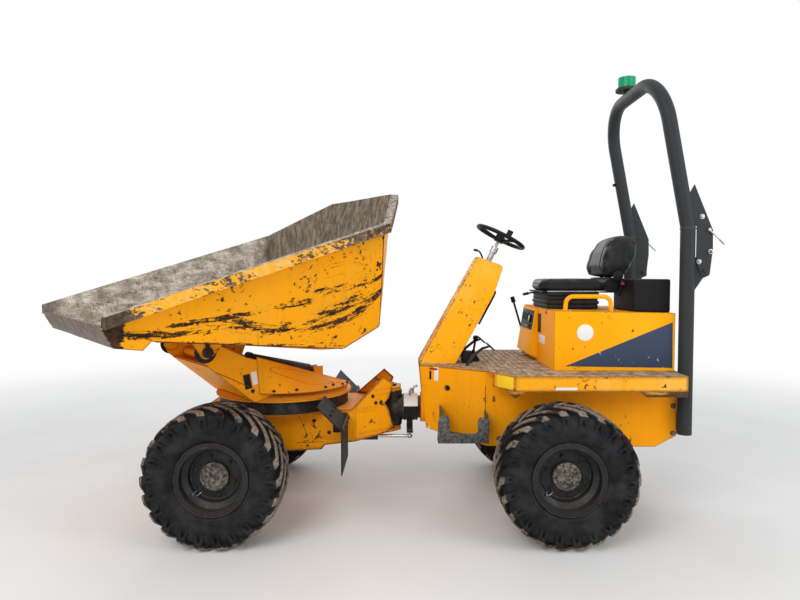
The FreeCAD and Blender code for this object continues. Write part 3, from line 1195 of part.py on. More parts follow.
hoop_tube = shaped("HoopTube", hoop_shape())
hoop_plate = prism("HoopPlate", "XZ", [
    ("post_x - 30", "post_top + 265"), ("post_x - 150", "post_top - 20"), ("post_x - 152", "fold_z + 140"),
    ("fold_x - 26", "fold_z - 24"), ("fold_x + 26", "fold_z - 24"), ("post_x - hoop_tube - 6", "fold_z + 60"),
    ("post_x - hoop_tube - 6", "post_top + 5"), ("post_x - 20", "post_top + 5"), ("post_x + 10", "post_top + 190")],
    "hoop_half + hinge_plate*1.5 + seat_gap", "hinge_plate")
hoop_pin = rod("HoopPin", "Y", "fold_x", "hoop_half - hinge_plate - 14", "fold_z", "fold_pin", "hinge_plate*2 + 34")
hoop_sides = pair("HoopSides", fuse("HoopSide", [hoop_plate, hoop_pin]))
beacon_x = "post_x + hoop_lean - beacon_behind"
lens_foot = "hoop_top + hoop_tube + beacon_rise"
beacon_post = rod("BeaconPost", "Z", beacon_x, "beacon_across", "hoop_top + hoop_tube - 16", "22", "beacon_rise + 4")
beacon_foot = rod("BeaconFoot", "Z", beacon_x, "beacon_across", lens_foot + " - 16", "beacon_radius + 16", "16")
node(fuse("Hoop", [hoop_tube, hoop_sides, beacon_post, beacon_foot]), "rops_hoop")
node(rod("BeaconLens", "Z", beacon_x, "beacon_across", lens_foot, "beacon_radius", "beacon_tall"), "beacon_lens")

doc.recompute()

# Every object must have computed, and every sub-part must be sound
faults = []
for item in doc.Objects:
    if "Invalid" in item.State or "Error" in item.State:
        faults.append(item.Name + " " + str(item.State))
for piece in NODES:
    if piece.Shape.isNull() or not piece.Shape.isValid():
        faults.append(piece.Label + " has no sound shape")
if faults:
    raise RuntimeError("; ".join(faults))

os.makedirs("parts", exist_ok=True)
for piece in NODES:
    piece.Shape.exportStep("parts/" + piece.Label + ".step")
    print("%-20s solids %d volume %.4f m3" % (piece.Label, len(piece.Shape.Solids), piece.Shape.Volume / 1e9))
print("sub-parts", len(NODES))
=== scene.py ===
"""Site dumper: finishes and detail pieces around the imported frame, in metres.

+X points forward, +Y to the machine's left, +Z up. Pieces on the skip and its swivel
frame are laid out straight ahead of the swivel axis and then turned to its parked angle.
"""

import logging
import math
from dataclasses import dataclass
from enum import Enum
from typing import Callable, Iterable, Optional, Sequence

import bmesh
import bpy
from mathutils import Matrix, Vector, noise


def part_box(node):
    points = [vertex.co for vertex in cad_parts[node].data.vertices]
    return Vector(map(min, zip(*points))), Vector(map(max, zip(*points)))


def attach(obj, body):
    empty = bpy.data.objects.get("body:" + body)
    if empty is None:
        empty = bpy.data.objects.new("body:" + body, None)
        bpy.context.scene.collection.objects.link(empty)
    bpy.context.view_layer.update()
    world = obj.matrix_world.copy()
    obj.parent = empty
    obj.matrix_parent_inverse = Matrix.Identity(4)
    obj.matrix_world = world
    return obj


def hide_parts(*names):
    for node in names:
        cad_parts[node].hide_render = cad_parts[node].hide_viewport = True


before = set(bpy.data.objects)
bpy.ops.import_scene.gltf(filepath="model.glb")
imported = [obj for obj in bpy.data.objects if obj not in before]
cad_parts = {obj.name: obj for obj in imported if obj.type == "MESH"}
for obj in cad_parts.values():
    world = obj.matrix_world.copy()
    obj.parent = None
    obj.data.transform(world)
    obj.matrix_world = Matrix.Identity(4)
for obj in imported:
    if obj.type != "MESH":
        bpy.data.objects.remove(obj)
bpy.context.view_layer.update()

log = logging.getLogger("dumper")
Point = tuple[float, float, float]
Colour = tuple[float, float, float]

WHEEL_X, WHEEL_Y, WHEEL_Z = 1.045, 0.730, 0.422
SWIVEL_X = 0.771
PARKED = math.radians(39.5)
ON_SWIVEL = Matrix.Translation((SWIVEL_X, 0.0, 0.0)) @ Matrix.Rotation(PARKED, 4, "Z")


# ---------------------------------------------------------------- node graphs


class Graph:
    """Builds a node tree in few words.

    Args:
        tree: the node tree of a material or a node group.
    """

    def __init__(self, tree: bpy.types.NodeTree) -> None:
        """Keep the tree."""
        self.tree = tree

    def put(self, socket: bpy.types.NodeSocket, value: object) -> None:
        """Link a socket to an input, or set its constant."""
        if isinstance(value, bpy.types.NodeSocket):
            self.tree.links.new(value, socket)
        elif isinstance(value, tuple) and len(value) == 3 and socket.type == "RGBA":
            socket.default_value = (*value, 1.0)
        else:
            socket.default_value = value

    def node(self, kind: str, inputs: Optional[dict] = None, **settings: object) -> bpy.types.Node:
        """Add a node.

        Args:
            kind: the node's type name.
            inputs: values or sockets by input name or number.
            settings: attributes of the node.

        Returns:
            The new node.
        """
        made = self.tree.nodes.new(kind)
        for name, value in settings.items():
            setattr(made, name, value)
        for name, value in (inputs or {}).items():
            self.put(made.inputs[name], value)
        return made

    def math(self, operation: str, first: object, second: object = 0.5, third: object = 0.0) -> bpy.types.NodeSocket:
        """One Math node's value."""
        made = self.node("ShaderNodeMath", {0: first, 1: second, 2: third}, operation=operation)
        return made.outputs[0]

    def ramp(self, value: object, low: object, high: object) -> bpy.types.NodeSocket:
        """Rise smoothly from 0 at low to 1 at high."""
        made = self.node("ShaderNodeMapRange", {"Value": value, "From Min": low, "From Max": high},
                         interpolation_type="SMOOTHSTEP")
        return made.outputs["Result"]

    def mix(self, mask: object, under: object, over: object) -> bpy.types.NodeSocket:
        """Lay one colour over another through a mask."""
        made = self.node("ShaderNodeMix", data_type="RGBA")
        self.put(made.inputs[0], mask)
        self.put(made.inputs[6], under)
        self.put(made.inputs[7], over)
        return made.outputs[2]

    def blend(self, mask: object, under: object, over: object) -> bpy.types.NodeSocket:
        """Lay one number over another through a mask."""
        made = self.node("ShaderNodeMix", {0: mask, 2: under, 3: over}, data_type="FLOAT")
        return made.outputs[0]

    def noise(self, vector: object, scale: object, detail: float = 4.0, rough: float = 0.55,
              bend: float = 0.0) -> bpy.types.NodeSocket:
        """A cloud pattern, about 0.5 in the middle."""
        made = self.node("ShaderNodeTexNoise", {"Vector": vector, "Scale": scale, "Detail": detail,
                                                "Roughness": rough, "Distortion": bend})
        return made.outputs["Fac"]

    def stretched(self, vector: object, scale: Point, turn: Point = (0.0, 0.0, 0.0)) -> bpy.types.NodeSocket:
        """Coordinates turned and then scaled along each axis."""
        turned = self.node("ShaderNodeMapping", {"Vector": vector, "Rotation": turn}, vector_type="TEXTURE")
        scaled = self.node("ShaderNodeMapping", {"Vector": turned.outputs[0], "Scale": scale})
        return scaled.outputs[0]

    def place(self) -> bpy.types.NodeSocket:
        """The piece's own Object coordinates."""
        return self.node("ShaderNodeTexCoord").outputs["Object"]

    def upward(self) -> bpy.types.NodeSocket:
        """How far the surface faces up, from -1 to 1."""
        normal = self.node("ShaderNodeNewGeometry").outputs["Normal"]
        return self.node("ShaderNodeSeparateXYZ", {0: normal}).outputs["Z"]

    def parts(self, vector: object) -> bpy.types.NodeOutputs:
        """The three parts of a position."""
        return self.node("ShaderNodeSeparateXYZ", {0: vector}).outputs

    def spot(self, ahead: object, up: object, centre: tuple[float, float], size: tuple[float, float],
             turn: float = 0.0) -> bpy.types.NodeSocket:
        """A soft ellipse on an upright face: 1 in its middle, 0 outside.

        Args:
            ahead: the face's forward coordinate.
            up: its height.
            centre: the middle, ahead and up.
            size: half length and half width.
            turn: how far its front end is raised, in degrees.

        Returns:
            The mask.
        """
        cosine, sine = math.cos(math.radians(turn)), math.sin(math.radians(turn))
        along = self.math("SUBTRACT", ahead, centre[0])
        above = self.math("SUBTRACT", up, centre[1])
        first = self.math("MULTIPLY_ADD", along, cosine / size[0], self.math("MULTIPLY", above, sine / size[0]))
        second = self.math("MULTIPLY_ADD", along, -sine / size[1], self.math("MULTIPLY", above, cosine / size[1]))
        far = self.math("MULTIPLY_ADD", first, first, self.math("MULTIPLY", second, second))
        return self.ramp(far, 1.0, 0.0)

    def course(self, value: object, points: Sequence[tuple[float, float]]) -> bpy.types.NodeSocket:
        """A smooth curve through points.

        Args:
            value: where on the curve.
            points: pairs of value and height, in rising order.

        Returns:
            The curve's height there.
        """
        start, reach = points[0][0], points[-1][0] - points[0][0]
        bottom = min(height for _, height in points)
        tall = max(height for _, height in points) - bottom
        curve = self.node("ShaderNodeFloatCurve",
                          {"Value": self.math("MULTIPLY_ADD", value, 1.0 / reach, -start / reach)})
        line = curve.mapping.curves[0]
        for index, (where, height) in enumerate(points):
            spot = ((where - start) / reach, (height - bottom) / tall)
            if index in (0, len(points) - 1):
                line.points[min(index, len(line.points) - 1)].location = spot
            else:
                line.points.new(*spot)
        curve.mapping.update()
        return self.math("MULTIPLY_ADD", curve.outputs[0], tall, bottom)

    def most(self, *masks: object) -> bpy.types.NodeSocket:
        """The strongest of several masks."""
        result = masks[0]
        for mask in masks[1:]:
            result = self.math("MAXIMUM", result, mask)
        return result


GROUPS: dict[str, bpy.types.NodeTree] = {}


def effect(name: str, inputs: dict[str, float], build: Callable[[Graph, dict], object],
           output: str = "Mask") -> bpy.types.NodeTree:
    """Make a shader node group once.

    Args:
        name: the group's name.
        inputs: its number inputs with their defaults; a Vector input always comes first.
        build: gets the graph and the input sockets, and returns the socket to put out.
        output: name of the output.

    Returns:
        The node group.
    """
    tree = bpy.data.node_groups.new(name, "ShaderNodeTree")
    tree.interface.new_socket("Vector", in_out="INPUT", socket_type="NodeSocketVector")
    for label, default in inputs.items():
        socket = tree.interface.new_socket(label, in_out="INPUT", socket_type="NodeSocketFloat")
        socket.default_value = default
    tree.interface.new_socket(output, in_out="OUTPUT", socket_type="NodeSocketFloat")
    graph = Graph(tree)
    source = graph.node("NodeGroupInput")
    sockets = {socket.name: socket for socket in source.outputs if socket.name}
    result = build(graph, sockets)
    graph.node("NodeGroupOutput", {output: result})
    GROUPS[name] = tree
    return tree


def use(graph: Graph, name: str, vector: object, **values: object) -> bpy.types.NodeSocket:
    """Place a shared effect in a material and give its output."""
    made = graph.node("ShaderNodeGroup", node_tree=GROUPS[name])
    graph.put(made.inputs["Vector"], vector)
    for label, value in values.items():
        graph.put(made.inputs[label], value)
    return made.outputs[0]


def build_effects() -> None:
    """Make the effects that several finishes share."""

    def edge_wear(graph: Graph, given: dict) -> object:
        """Worn patches along sharp edges, broken up by noise."""
        rounded = graph.node("ShaderNodeBevel", {"Radius": given["Reach"]}, samples=6).outputs[0]
        normal = graph.node("ShaderNodeNewGeometry").outputs["Normal"]
        turned = graph.node("ShaderNodeVectorMath", {0: rounded, 1: normal}, operation="DOT_PRODUCT").outputs["Value"]
        near = graph.ramp(turned, 0.995, 0.86)
        cloud = graph.noise(given["Vector"], given["Scale"], 6.0, 0.62)
        level = graph.math("MULTIPLY_ADD", near, 0.70, graph.math("MULTIPLY", cloud, 0.75))
        cut = graph.math("SUBTRACT", 1.02, graph.math("MULTIPLY", given["Amount"], 0.34))
        return graph.ramp(level, cut, graph.math("ADD", cut, 0.03))

    def chips(graph: Graph, given: dict) -> object:
        """Flaked spots of many sizes with crisp outlines."""
        large = graph.noise(given["Vector"], given["Scale"], 8.0, 0.66, 0.4)
        region = graph.noise(given["Vector"], graph.math("MULTIPLY", given["Scale"], 0.23), 2.0, 0.5)
        level = graph.math("ADD", graph.math("MULTIPLY", large, 0.7), graph.math("MULTIPLY", region, 0.3))
        cut = graph.math("SUBTRACT", 0.72, graph.math("MULTIPLY", given["Amount"], 0.2))
        return graph.ramp(level, cut, graph.math("ADD", cut, 0.012))

    def dust(graph: Graph, given: dict) -> object:
        """Dry soil that settles on surfaces facing up and a little everywhere."""
        cloud = graph.noise(given["Vector"], given["Scale"], 6.0, 0.7)
        flat = graph.ramp(graph.upward(), 0.25, 0.95)
        level = graph.math("ADD", graph.math("MULTIPLY", flat, 0.70), graph.math("SUBTRACT", cloud, 0.50))
        return graph.math("MULTIPLY", graph.ramp(level, 0.0, 0.9), given["Amount"])

    def streaks(graph: Graph, given: dict) -> object:
        """Thin runs of dirt that water has drawn down an upright face."""
        run = graph.stretched(given["Vector"], (1.0, 1.0, 0.07))
        cloud = graph.noise(run, given["Scale"], 5.0, 0.6)
        side = graph.ramp(graph.math("ABSOLUTE", graph.upward()), 0.8, 0.3)
        level = graph.math("MULTIPLY", graph.ramp(cloud, 0.5, 0.78), side)
        return graph.math("MULTIPLY", level, given["Amount"])

    def grain(graph: Graph, given: dict) -> object:
        """A fine surface texture as a height."""
        coarse = graph.noise(given["Vector"], given["Scale"], 3.0, 0.5)
        fine = graph.noise(given["Vector"], graph.math("MULTIPLY", given["Scale"], 7.0), 2.0, 0.5)
        return graph.math("ADD", coarse, graph.math("MULTIPLY", fine, 0.4))

    effect("edge_wear", {"Reach": 0.012, "Scale": 22.0, "Amount": 0.5}, edge_wear)
    effect("chips", {"Scale": 9.0, "Amount": 0.5}, chips)
    effect("dust", {"Scale": 5.0, "Amount": 0.5}, dust)
    effect("streaks", {"Scale": 30.0, "Amount": 0.3}, streaks)
    effect("grain", {"Scale": 60.0}, grain, "Height")


# ------------------------------------------------------------------- finishes


def new_material(name: str, gloss: float = 0.30) -> tuple[bpy.types.Material, Graph, bpy.types.Node]:
    """An empty material with a Principled shader.

    Args:
        name: the material's name.
        gloss: strength of its plain reflection.

    Returns:
        The material, its graph and its Principled node.
    """
    material = bpy.data.materials.new(name)
    material.use_nodes = True
    material.node_tree.nodes.clear()
    graph = Graph(material.node_tree)
    shader = graph.node("ShaderNodeBsdfPrincipled", {"Specular IOR Level": gloss})
    graph.node("ShaderNodeOutputMaterial", {"Surface": shader.outputs[0]})
    return material, graph, shader


def raise_surface(graph: Graph, shader: bpy.types.Node, height: object, distance: float, strength: float = 1.0) -> None:
    """Feed a height to the shader's normal through a Bump node."""
    bump = graph.node("ShaderNodeBump", {"Height": height, "Distance": distance, "Strength": strength})
    graph.put(shader.inputs["Normal"], bump.outputs[0])


SOIL: Colour = (0.255, 0.200, 0.140)
SCALE_RUST: Colour = (0.070, 0.036, 0.022)


@dataclass(frozen=True)
class WornPaint:
    """Machine enamel with chips, worn edges, runs of dirt and settled soil.

    Args:
        name: the material's name.
        tint: the clean colour.
        faded: the colour where the sun and rubbing have paled it.
        edge: how much the edges have lost.
        reach: how far in from an edge the wear goes.
        chip: how many chips the faces have.
        chip_scale: how fine they are.
        soil: how much soil lies on it.
        runs: how strong the runs of dirt are.
        rough: roughness of the clean paint.
        base: colour under the paint.
        walked: how much of its flat tops boots have worn to metal.
        blasted: how many more chips there are on faces that look ahead.
    """

    name: str
    tint: Colour
    faded: Colour
    edge: float = 0.45
    reach: float = 0.012
    chip: float = 0.2
    chip_scale: float = 9.0
    soil: float = 0.35
    runs: float = 0.25
    rough: float = 0.42
    base: Colour = SCALE_RUST
    walked: float = 0.0
    blasted: float = 0.0

    def build(self) -> bpy.types.Material:
        """Make the material."""
        material, graph, shader = new_material(self.name, 0.10)
        place = graph.place()
        fade = graph.ramp(graph.noise(place, 2.2, 4.0, 0.6), 0.42, 0.72)
        colour = graph.mix(fade, self.tint, self.faded)
        mottled = graph.ramp(graph.noise(place, 38.0, 5.0, 0.7), 0.35, 0.75)
        colour = graph.mix(graph.math("MULTIPLY", mottled, 0.16), colour, self.faded)
        runs = use(graph, "streaks", place, Amount=self.runs)
        colour = graph.mix(runs, colour, tuple(0.45 * c for c in SOIL))
        edges = use(graph, "edge_wear", place, Reach=self.reach, Amount=self.edge)
        amount: object = self.chip
        if self.blasted:
            looks = graph.parts(graph.node("ShaderNodeNewGeometry").outputs["Normal"])["X"]
            amount = graph.math("MULTIPLY_ADD", graph.ramp(looks, 0.35, 0.75), self.blasted, self.chip)
        flakes = use(graph, "chips", place, Scale=self.chip_scale, Amount=amount)
        bare = graph.math("MAXIMUM", edges, flakes)
        rust_tone = graph.ramp(graph.noise(place, 26.0, 6.0, 0.7), 0.4, 0.7)
        under = graph.mix(rust_tone, self.base, (0.155, 0.066, 0.030))
        colour = graph.mix(bare, colour, under)
        soil = use(graph, "dust", place, Amount=self.soil)
        colour = graph.mix(soil, colour, SOIL)
        if self.walked:
            trodden = graph.ramp(graph.noise(place, 7.0, 7.0, 0.7), 0.30, 0.44)
            trodden = graph.math("MULTIPLY", graph.math("MULTIPLY", trodden, graph.ramp(graph.upward(), 0.8, 0.95)), self.walked)
            metal = graph.mix(graph.ramp(graph.noise(place, 13.0, 8.0, 0.72, 0.4), 0.40, 0.62),
                              (0.190, 0.132, 0.086), (0.520, 0.440, 0.330))
            colour = graph.mix(trodden, colour, metal)
        graph.put(shader.inputs["Base Color"], colour)
        rough = graph.blend(bare, self.rough, 0.82)
        graph.put(shader.inputs["Roughness"], graph.blend(soil, rough, 0.95))
        skin = use(graph, "grain", place, Scale=90.0)
        height = graph.math("SUBTRACT", graph.math("MULTIPLY", skin, 0.12), bare)
        raise_surface(graph, shader, height, 0.0012, 0.8)
        return material


def skip_place(graph: Graph) -> bpy.types.NodeSocket:
    """Coordinates on the skip: ahead, across and up from its swivel axis."""
    return graph.node("ShaderNodeMapping", {"Vector": graph.place(), "Location": (SWIVEL_X, 0.0, 0.0),
                                            "Rotation": (0.0, 0.0, PARKED)}, vector_type="TEXTURE").outputs[0]


@dataclass(frozen=True)
class SkipPaint:
    """Enamel of the skip's outside with long dark scrapes sweeping over its lower half.

    Args:
        name: the material's name.
        tint: the clean colour.
        sweeps: long scraped bands, each as (ahead, height, half width) from rear to front.
        spots: scraped patches: centre, half size, turn and strength.
    """

    name: str
    tint: Colour
    sweeps: tuple = (((-0.34, 1.560, 0.050), (-0.21, 1.462, 0.085), (-0.06, 1.403, 0.120), (0.09, 1.359, 0.105),
                      (0.30, 1.322, 0.075), (0.50, 1.310, 0.065), (0.68, 1.336, 0.055), (0.85, 1.329, 0.042),
                      (1.01, 1.314, 0.036), (1.15, 1.316, 0.034), (1.29, 1.319, 0.030)),
                     ((0.20, 1.462, 0.024), (0.374, 1.442, 0.030), (0.564, 1.408, 0.026), (0.684, 1.397, 0.028),
                      (0.798, 1.380, 0.024), (0.951, 1.366, 0.022), (1.10, 1.348, 0.016)),
                     ((-0.34, 1.650, 0.018), (-0.20, 1.575, 0.026), (-0.06, 1.541, 0.040), (0.027, 1.530, 0.044),
                      (0.144, 1.520, 0.030), (0.22, 1.512, 0.014)))
    spots: tuple = (((0.31, 1.585), (0.085, 0.030), -35.0, 1.0), ((0.25, 1.540), (0.050, 0.026), -55.0, 1.0),
                    ((1.24, 1.325), (0.10, 0.030), 0.0, 0.9), ((0.148, 1.201), (0.07, 0.020), 10.0, 0.9),
                    ((0.00, 1.168), (0.10, 0.022), 0.0, 0.9), ((1.33, 1.330), (0.07, 0.160), 0.0, 1.5),
                    ((0.62, 1.224), (0.90, 0.022), 5.0, 0.95), ((-0.14, 1.710), (0.03, 0.075), 10.0, 0.8))

    def build(self) -> bpy.types.Material:
        """Make the material."""
        material, graph, shader = new_material(self.name, 0.10)
        place = graph.place()
        local = skip_place(graph)
        ahead, across, up = graph.parts(local)
        fade = graph.ramp(graph.noise(place, 2.6, 4.0, 0.6), 0.42, 0.78)
        colour = graph.mix(graph.math("MULTIPLY", fade, 0.5), self.tint, (0.80, 0.36, 0.022))
        # Bands of scrapes sweep along the wall and curl up towards the rear
        regions = []
        for sweep in self.sweeps:
            middle = graph.course(ahead, [(where, height) for where, height, _ in sweep])
            half = graph.course(ahead, [(where, wide) for where, _, wide in sweep])
            away = graph.math("DIVIDE", graph.math("ABSOLUTE", graph.math("SUBTRACT", up, middle)), half)
            inside = graph.math("MULTIPLY", graph.ramp(ahead, sweep[0][0] - 0.03, sweep[0][0] + 0.03),
                                graph.ramp(ahead, sweep[-1][0] + 0.03, sweep[-1][0] - 0.03))
            regions.append(graph.math("MULTIPLY", graph.ramp(away, 1.55, 0.15), inside))
            if len(regions) == 1:
                level = graph.math("SUBTRACT", up, middle)
        for centre, size, turn, strength in self.spots:
            regions.append(graph.math("MULTIPLY", graph.spot(ahead, up, centre, size, turn), strength))
        line = graph.node("ShaderNodeCombineXYZ", {"X": graph.math("MULTIPLY", ahead, 4.2), "Y": across,
                                                   "Z": graph.math("MULTIPLY", level, 26.0)}).outputs[0]
        scrape = graph.noise(line, 2.1, 12.0, 0.78, 0.6)
        torn = graph.noise(place, 42.0, 10.0, 0.85)
        scrape = graph.math("MULTIPLY_ADD", scrape, 0.62, graph.math("MULTIPLY", torn, 0.38))
        patchy = graph.math("MULTIPLY_ADD", graph.ramp(graph.noise(line, 0.62, 3.0, 0.6), 0.40, 0.60), 0.42, 0.62)
        cut = graph.math("SUBTRACT", 0.66, graph.math("MULTIPLY", graph.math("MULTIPLY", graph.most(*regions), patchy), 0.205))
        scraped = graph.ramp(scrape, cut, graph.math("ADD", cut, 0.010))
        thin = graph.node("ShaderNodeCombineXYZ", {"X": graph.math("MULTIPLY", ahead, 1.5), "Y": across,
                                                   "Z": graph.math("MULTIPLY", level, 46.0)}).outputs[0]
        rear = graph.spot(ahead, up, (-0.05, 1.58), (0.40, 0.32))
        edge = graph.math("SUBTRACT", 0.725, graph.math("MULTIPLY", rear, 0.115))
        scratched = graph.ramp(graph.noise(thin, 2.4, 8.0, 0.72, 0.4), edge, graph.math("ADD", edge, 0.012))
        flakes = use(graph, "chips", place, Scale=34.0, Amount=0.66)
        edges = use(graph, "edge_wear", place, Reach=0.014, Scale=26.0, Amount=0.55)
        bare = graph.most(scraped, scratched, flakes, edges)
        tone = graph.ramp(graph.noise(place, 18.0, 6.0, 0.7), 0.40, 0.75)
        colour = graph.mix(bare, colour, graph.mix(tone, (0.030, 0.017, 0.012), (0.092, 0.043, 0.022)))
        bright = graph.ramp(graph.noise(line, 9.0, 5.0, 0.7), 0.62, 0.70)
        colour = graph.mix(graph.math("MULTIPLY", bright, graph.math("MULTIPLY", bare, 0.35)), colour, (0.30, 0.17, 0.09))
        runs = use(graph, "streaks", place, Scale=22.0, Amount=0.14)
        colour = graph.mix(runs, colour, (0.22, 0.09, 0.02))
        soil = use(graph, "dust", place, Amount=0.3)
        colour = graph.mix(soil, colour, SOIL)
        graph.put(shader.inputs["Base Color"], colour)
        graph.put(shader.inputs["Roughness"], graph.blend(bare, 0.45, 0.85))
        skin = use(graph, "grain", place, Scale=70.0)
        raise_surface(graph, shader, graph.math("SUBTRACT", graph.math("MULTIPLY", skin, 0.15), bare), 0.0015, 0.8)
        return material


@dataclass(frozen=True)
class WornLining:
    """Inside of the skip: steel scoured bright, with cement film, brown stain and rust, painted light on the side walls
    and floor and painted shade on the rear wall.

    Args:
        name: the material's name.
    """

    name: str

    def build(self) -> bpy.types.Material:
        """Make the material."""
        material, graph, shader = new_material(self.name, 0.30)
        place = graph.place()
        local = skip_place(graph)
        ahead, across, up = graph.parts(local)
        # Grey brown steel, drawn down in streaks at the rear, where its darkness is also painted shade on the rear wall
        drawn = graph.stretched(local, (4.5, 4.5, 1.0))
        streak = graph.noise(drawn, 7.0, 8.0, 0.72, 0.3)
        grey = graph.mix(graph.ramp(streak, 0.38, 0.66), (0.088, 0.064, 0.042), (0.330, 0.262, 0.185))
        # Pale over the front half, up to the rear wall: painted light on the side walls and floor together with cement
        # film, broken by brown specks and long scours
        ragged = graph.math("MULTIPLY_ADD", graph.noise(place, 5.0, 6.0, 0.7), 0.22, -0.11)
        front = graph.ramp(graph.math("ADD", ahead, ragged), -0.30, -0.19)
        scour = graph.noise(graph.stretched(local, (1.2, 3.6, 5.0)), 3.4, 9.0, 0.70, 0.5)
        cover = graph.ramp(scour, 0.36, 0.60)
        lit_and_cement_pale = graph.mix(graph.ramp(graph.noise(place, 11.0, 7.0, 0.7), 0.35, 0.62), (0.450, 0.380, 0.300),
                          (0.860, 0.790, 0.690))
        white = graph.math("MULTIPLY", front, graph.math("MULTIPLY_ADD", cover, 0.74, 0.26))
        colour = graph.mix(white, grey, lit_and_cement_pale)
        specks = graph.ramp(graph.noise(place, 46.0, 9.0, 0.85), 0.545, 0.585)
        patch = graph.math("MULTIPLY_ADD", graph.ramp(scour, 0.60, 0.42), 0.60, 0.40)
        colour = graph.mix(graph.math("MULTIPLY", specks, patch), colour, (0.085, 0.058, 0.040))
        fine = graph.ramp(graph.noise(place, 105.0, 5.0, 0.85), 0.50, 0.60)
        colour = graph.mix(graph.math("MULTIPLY", fine, 0.55), colour, (0.075, 0.055, 0.042))
        rust = graph.ramp(graph.noise(place, 9.0, 8.0, 0.7), 0.625, 0.68)
        rust = graph.math("MULTIPLY", rust, graph.ramp(up, 1.70, 2.0))
        colour = graph.mix(graph.math("MULTIPLY", rust, 0.75), colour, (0.370, 0.150, 0.040))
        lip = graph.ramp(graph.math("MULTIPLY_ADD", ragged, 0.5, ahead), 1.22, 1.37)
        lip_tone = graph.mix(graph.ramp(streak, 0.35, 0.68), (0.062, 0.042, 0.036), (0.210, 0.155, 0.125))
        colour = graph.mix(graph.math("MULTIPLY", lip, 0.85), colour, lip_tone)
        graph.put(shader.inputs["Base Color"], colour)
        graph.put(shader.inputs["Roughness"], graph.blend(white, 0.62, 0.9))
        graph.put(shader.inputs["Metallic"], graph.math("MULTIPLY", lip, 0.25))
        raise_surface(graph, shader, graph.math("ADD", scour, use(graph, "grain", place, Scale=45.0)), 0.002, 0.7)
        return material


@dataclass(frozen=True)
class RimBand:
    """Top bar round the skip: paint rubbed through to brown steel in small flakes.

    Args:
        name: the material's name.
        tint: what is left of the paint.
    """

    name: str
    tint: Colour

    def build(self) -> bpy.types.Material:
        """Make the material."""
        material, graph, shader = new_material(self.name, 0.25)
        place = graph.place()
        ahead, across, up = graph.parts(skip_place(graph))
        run = graph.stretched(place, (1.0, 1.0, 1.9))
        torn = graph.noise(run, 23.0, 9.0, 0.74, 0.3)
        patch = graph.noise(place, 3.2, 3.0, 0.55)
        level = graph.math("MULTIPLY_ADD", torn, 0.62, graph.math("MULTIPLY", patch, 0.38))
        rear = graph.ramp(ahead, 0.30, -0.20)
        corner = graph.spot(ahead, up, (1.37, 1.38), (0.16, 0.14))
        cut = graph.math("SUBTRACT", 0.520, graph.math("MULTIPLY_ADD", rear, 0.115, graph.math("MULTIPLY", corner, 0.10)))
        bare = graph.ramp(level, cut, graph.math("ADD", cut, 0.014))
        steel = graph.mix(graph.ramp(graph.noise(place, 33.0, 6.0, 0.7), 0.35, 0.7),
                          (0.052, 0.035, 0.026), (0.200, 0.150, 0.102))
        steel = graph.mix(graph.math("MULTIPLY", corner, 0.6), steel, (0.042, 0.025, 0.018))
        pale = graph.mix(graph.ramp(graph.noise(place, 20.0, 5.0, 0.7), 0.45, 0.66), self.tint, (0.80, 0.48, 0.13))
        colour = graph.mix(bare, pale, steel)
        # The top edge is rubbed bright
        top = graph.ramp(graph.upward(), 0.35, 0.80)
        rubbed = graph.mix(graph.ramp(graph.noise(place, 28.0, 7.0, 0.75), 0.36, 0.62),
                           (0.135, 0.098, 0.070), (0.560, 0.480, 0.390))
        colour = graph.mix(graph.math("MULTIPLY", top, 0.92), colour, rubbed)
        graph.put(shader.inputs["Base Color"], colour)
        graph.put(shader.inputs["Roughness"], graph.blend(graph.most(bare, top), 0.55, 0.8))
        raise_surface(graph, shader, graph.math("SUBTRACT", graph.math("MULTIPLY", torn, 0.5), bare), 0.0015, 0.8)
        return material


@dataclass(frozen=True)
class Rubber:
    """Tyre and flap rubber, greyed and dusty; lug tops carry dry soil through an attribute.

    Args:
        name: the material's name.
        soil: soil on surfaces marked by the piece's "soil" attribute.
        film: dust everywhere.
    """

    name: str
    soil: float = 0.0
    film: float = 0.25

    def build(self) -> bpy.types.Material:
        """Make the material."""
        material, graph, shader = new_material(self.name, 0.13)
        place = graph.place()
        cloud = graph.noise(place, 11.0, 6.0, 0.65)
        black = graph.mix(graph.ramp(cloud, 0.35, 0.7), (0.007, 0.007, 0.008), (0.024, 0.025, 0.027))
        film = graph.math("MULTIPLY", graph.ramp(graph.noise(place, 4.5, 7.0, 0.7), 0.42, 0.75), self.film)
        colour = graph.mix(film, black, (0.115, 0.098, 0.082))
        if self.soil:
            mark = graph.ramp(graph.node("ShaderNodeAttribute", attribute_name="soil").outputs["Fac"], 0.70, 0.93)
            mark = graph.math("MULTIPLY", mark, graph.ramp(graph.noise(place, 5.5, 5.0, 0.7), 0.40, 0.52))
            crumbs = graph.ramp(graph.noise(place, 60.0, 6.0, 0.75), 0.30, 0.62)
            cover = graph.math("MULTIPLY", graph.math("MULTIPLY", mark, self.soil),
                               graph.math("MULTIPLY_ADD", crumbs, 0.55, 0.45))
            earth = graph.mix(graph.ramp(graph.noise(place, 90.0, 4.0, 0.7), 0.35, 0.65),
                              (0.165, 0.125, 0.098), (0.370, 0.295, 0.232))
            colour = graph.mix(cover, colour, earth)
        graph.put(shader.inputs["Base Color"], colour)
        graph.put(shader.inputs["Roughness"], graph.blend(film, 0.62, 0.95))
        raise_surface(graph, shader, use(graph, "grain", place, Scale=120.0), 0.0015, 0.6)
        return material


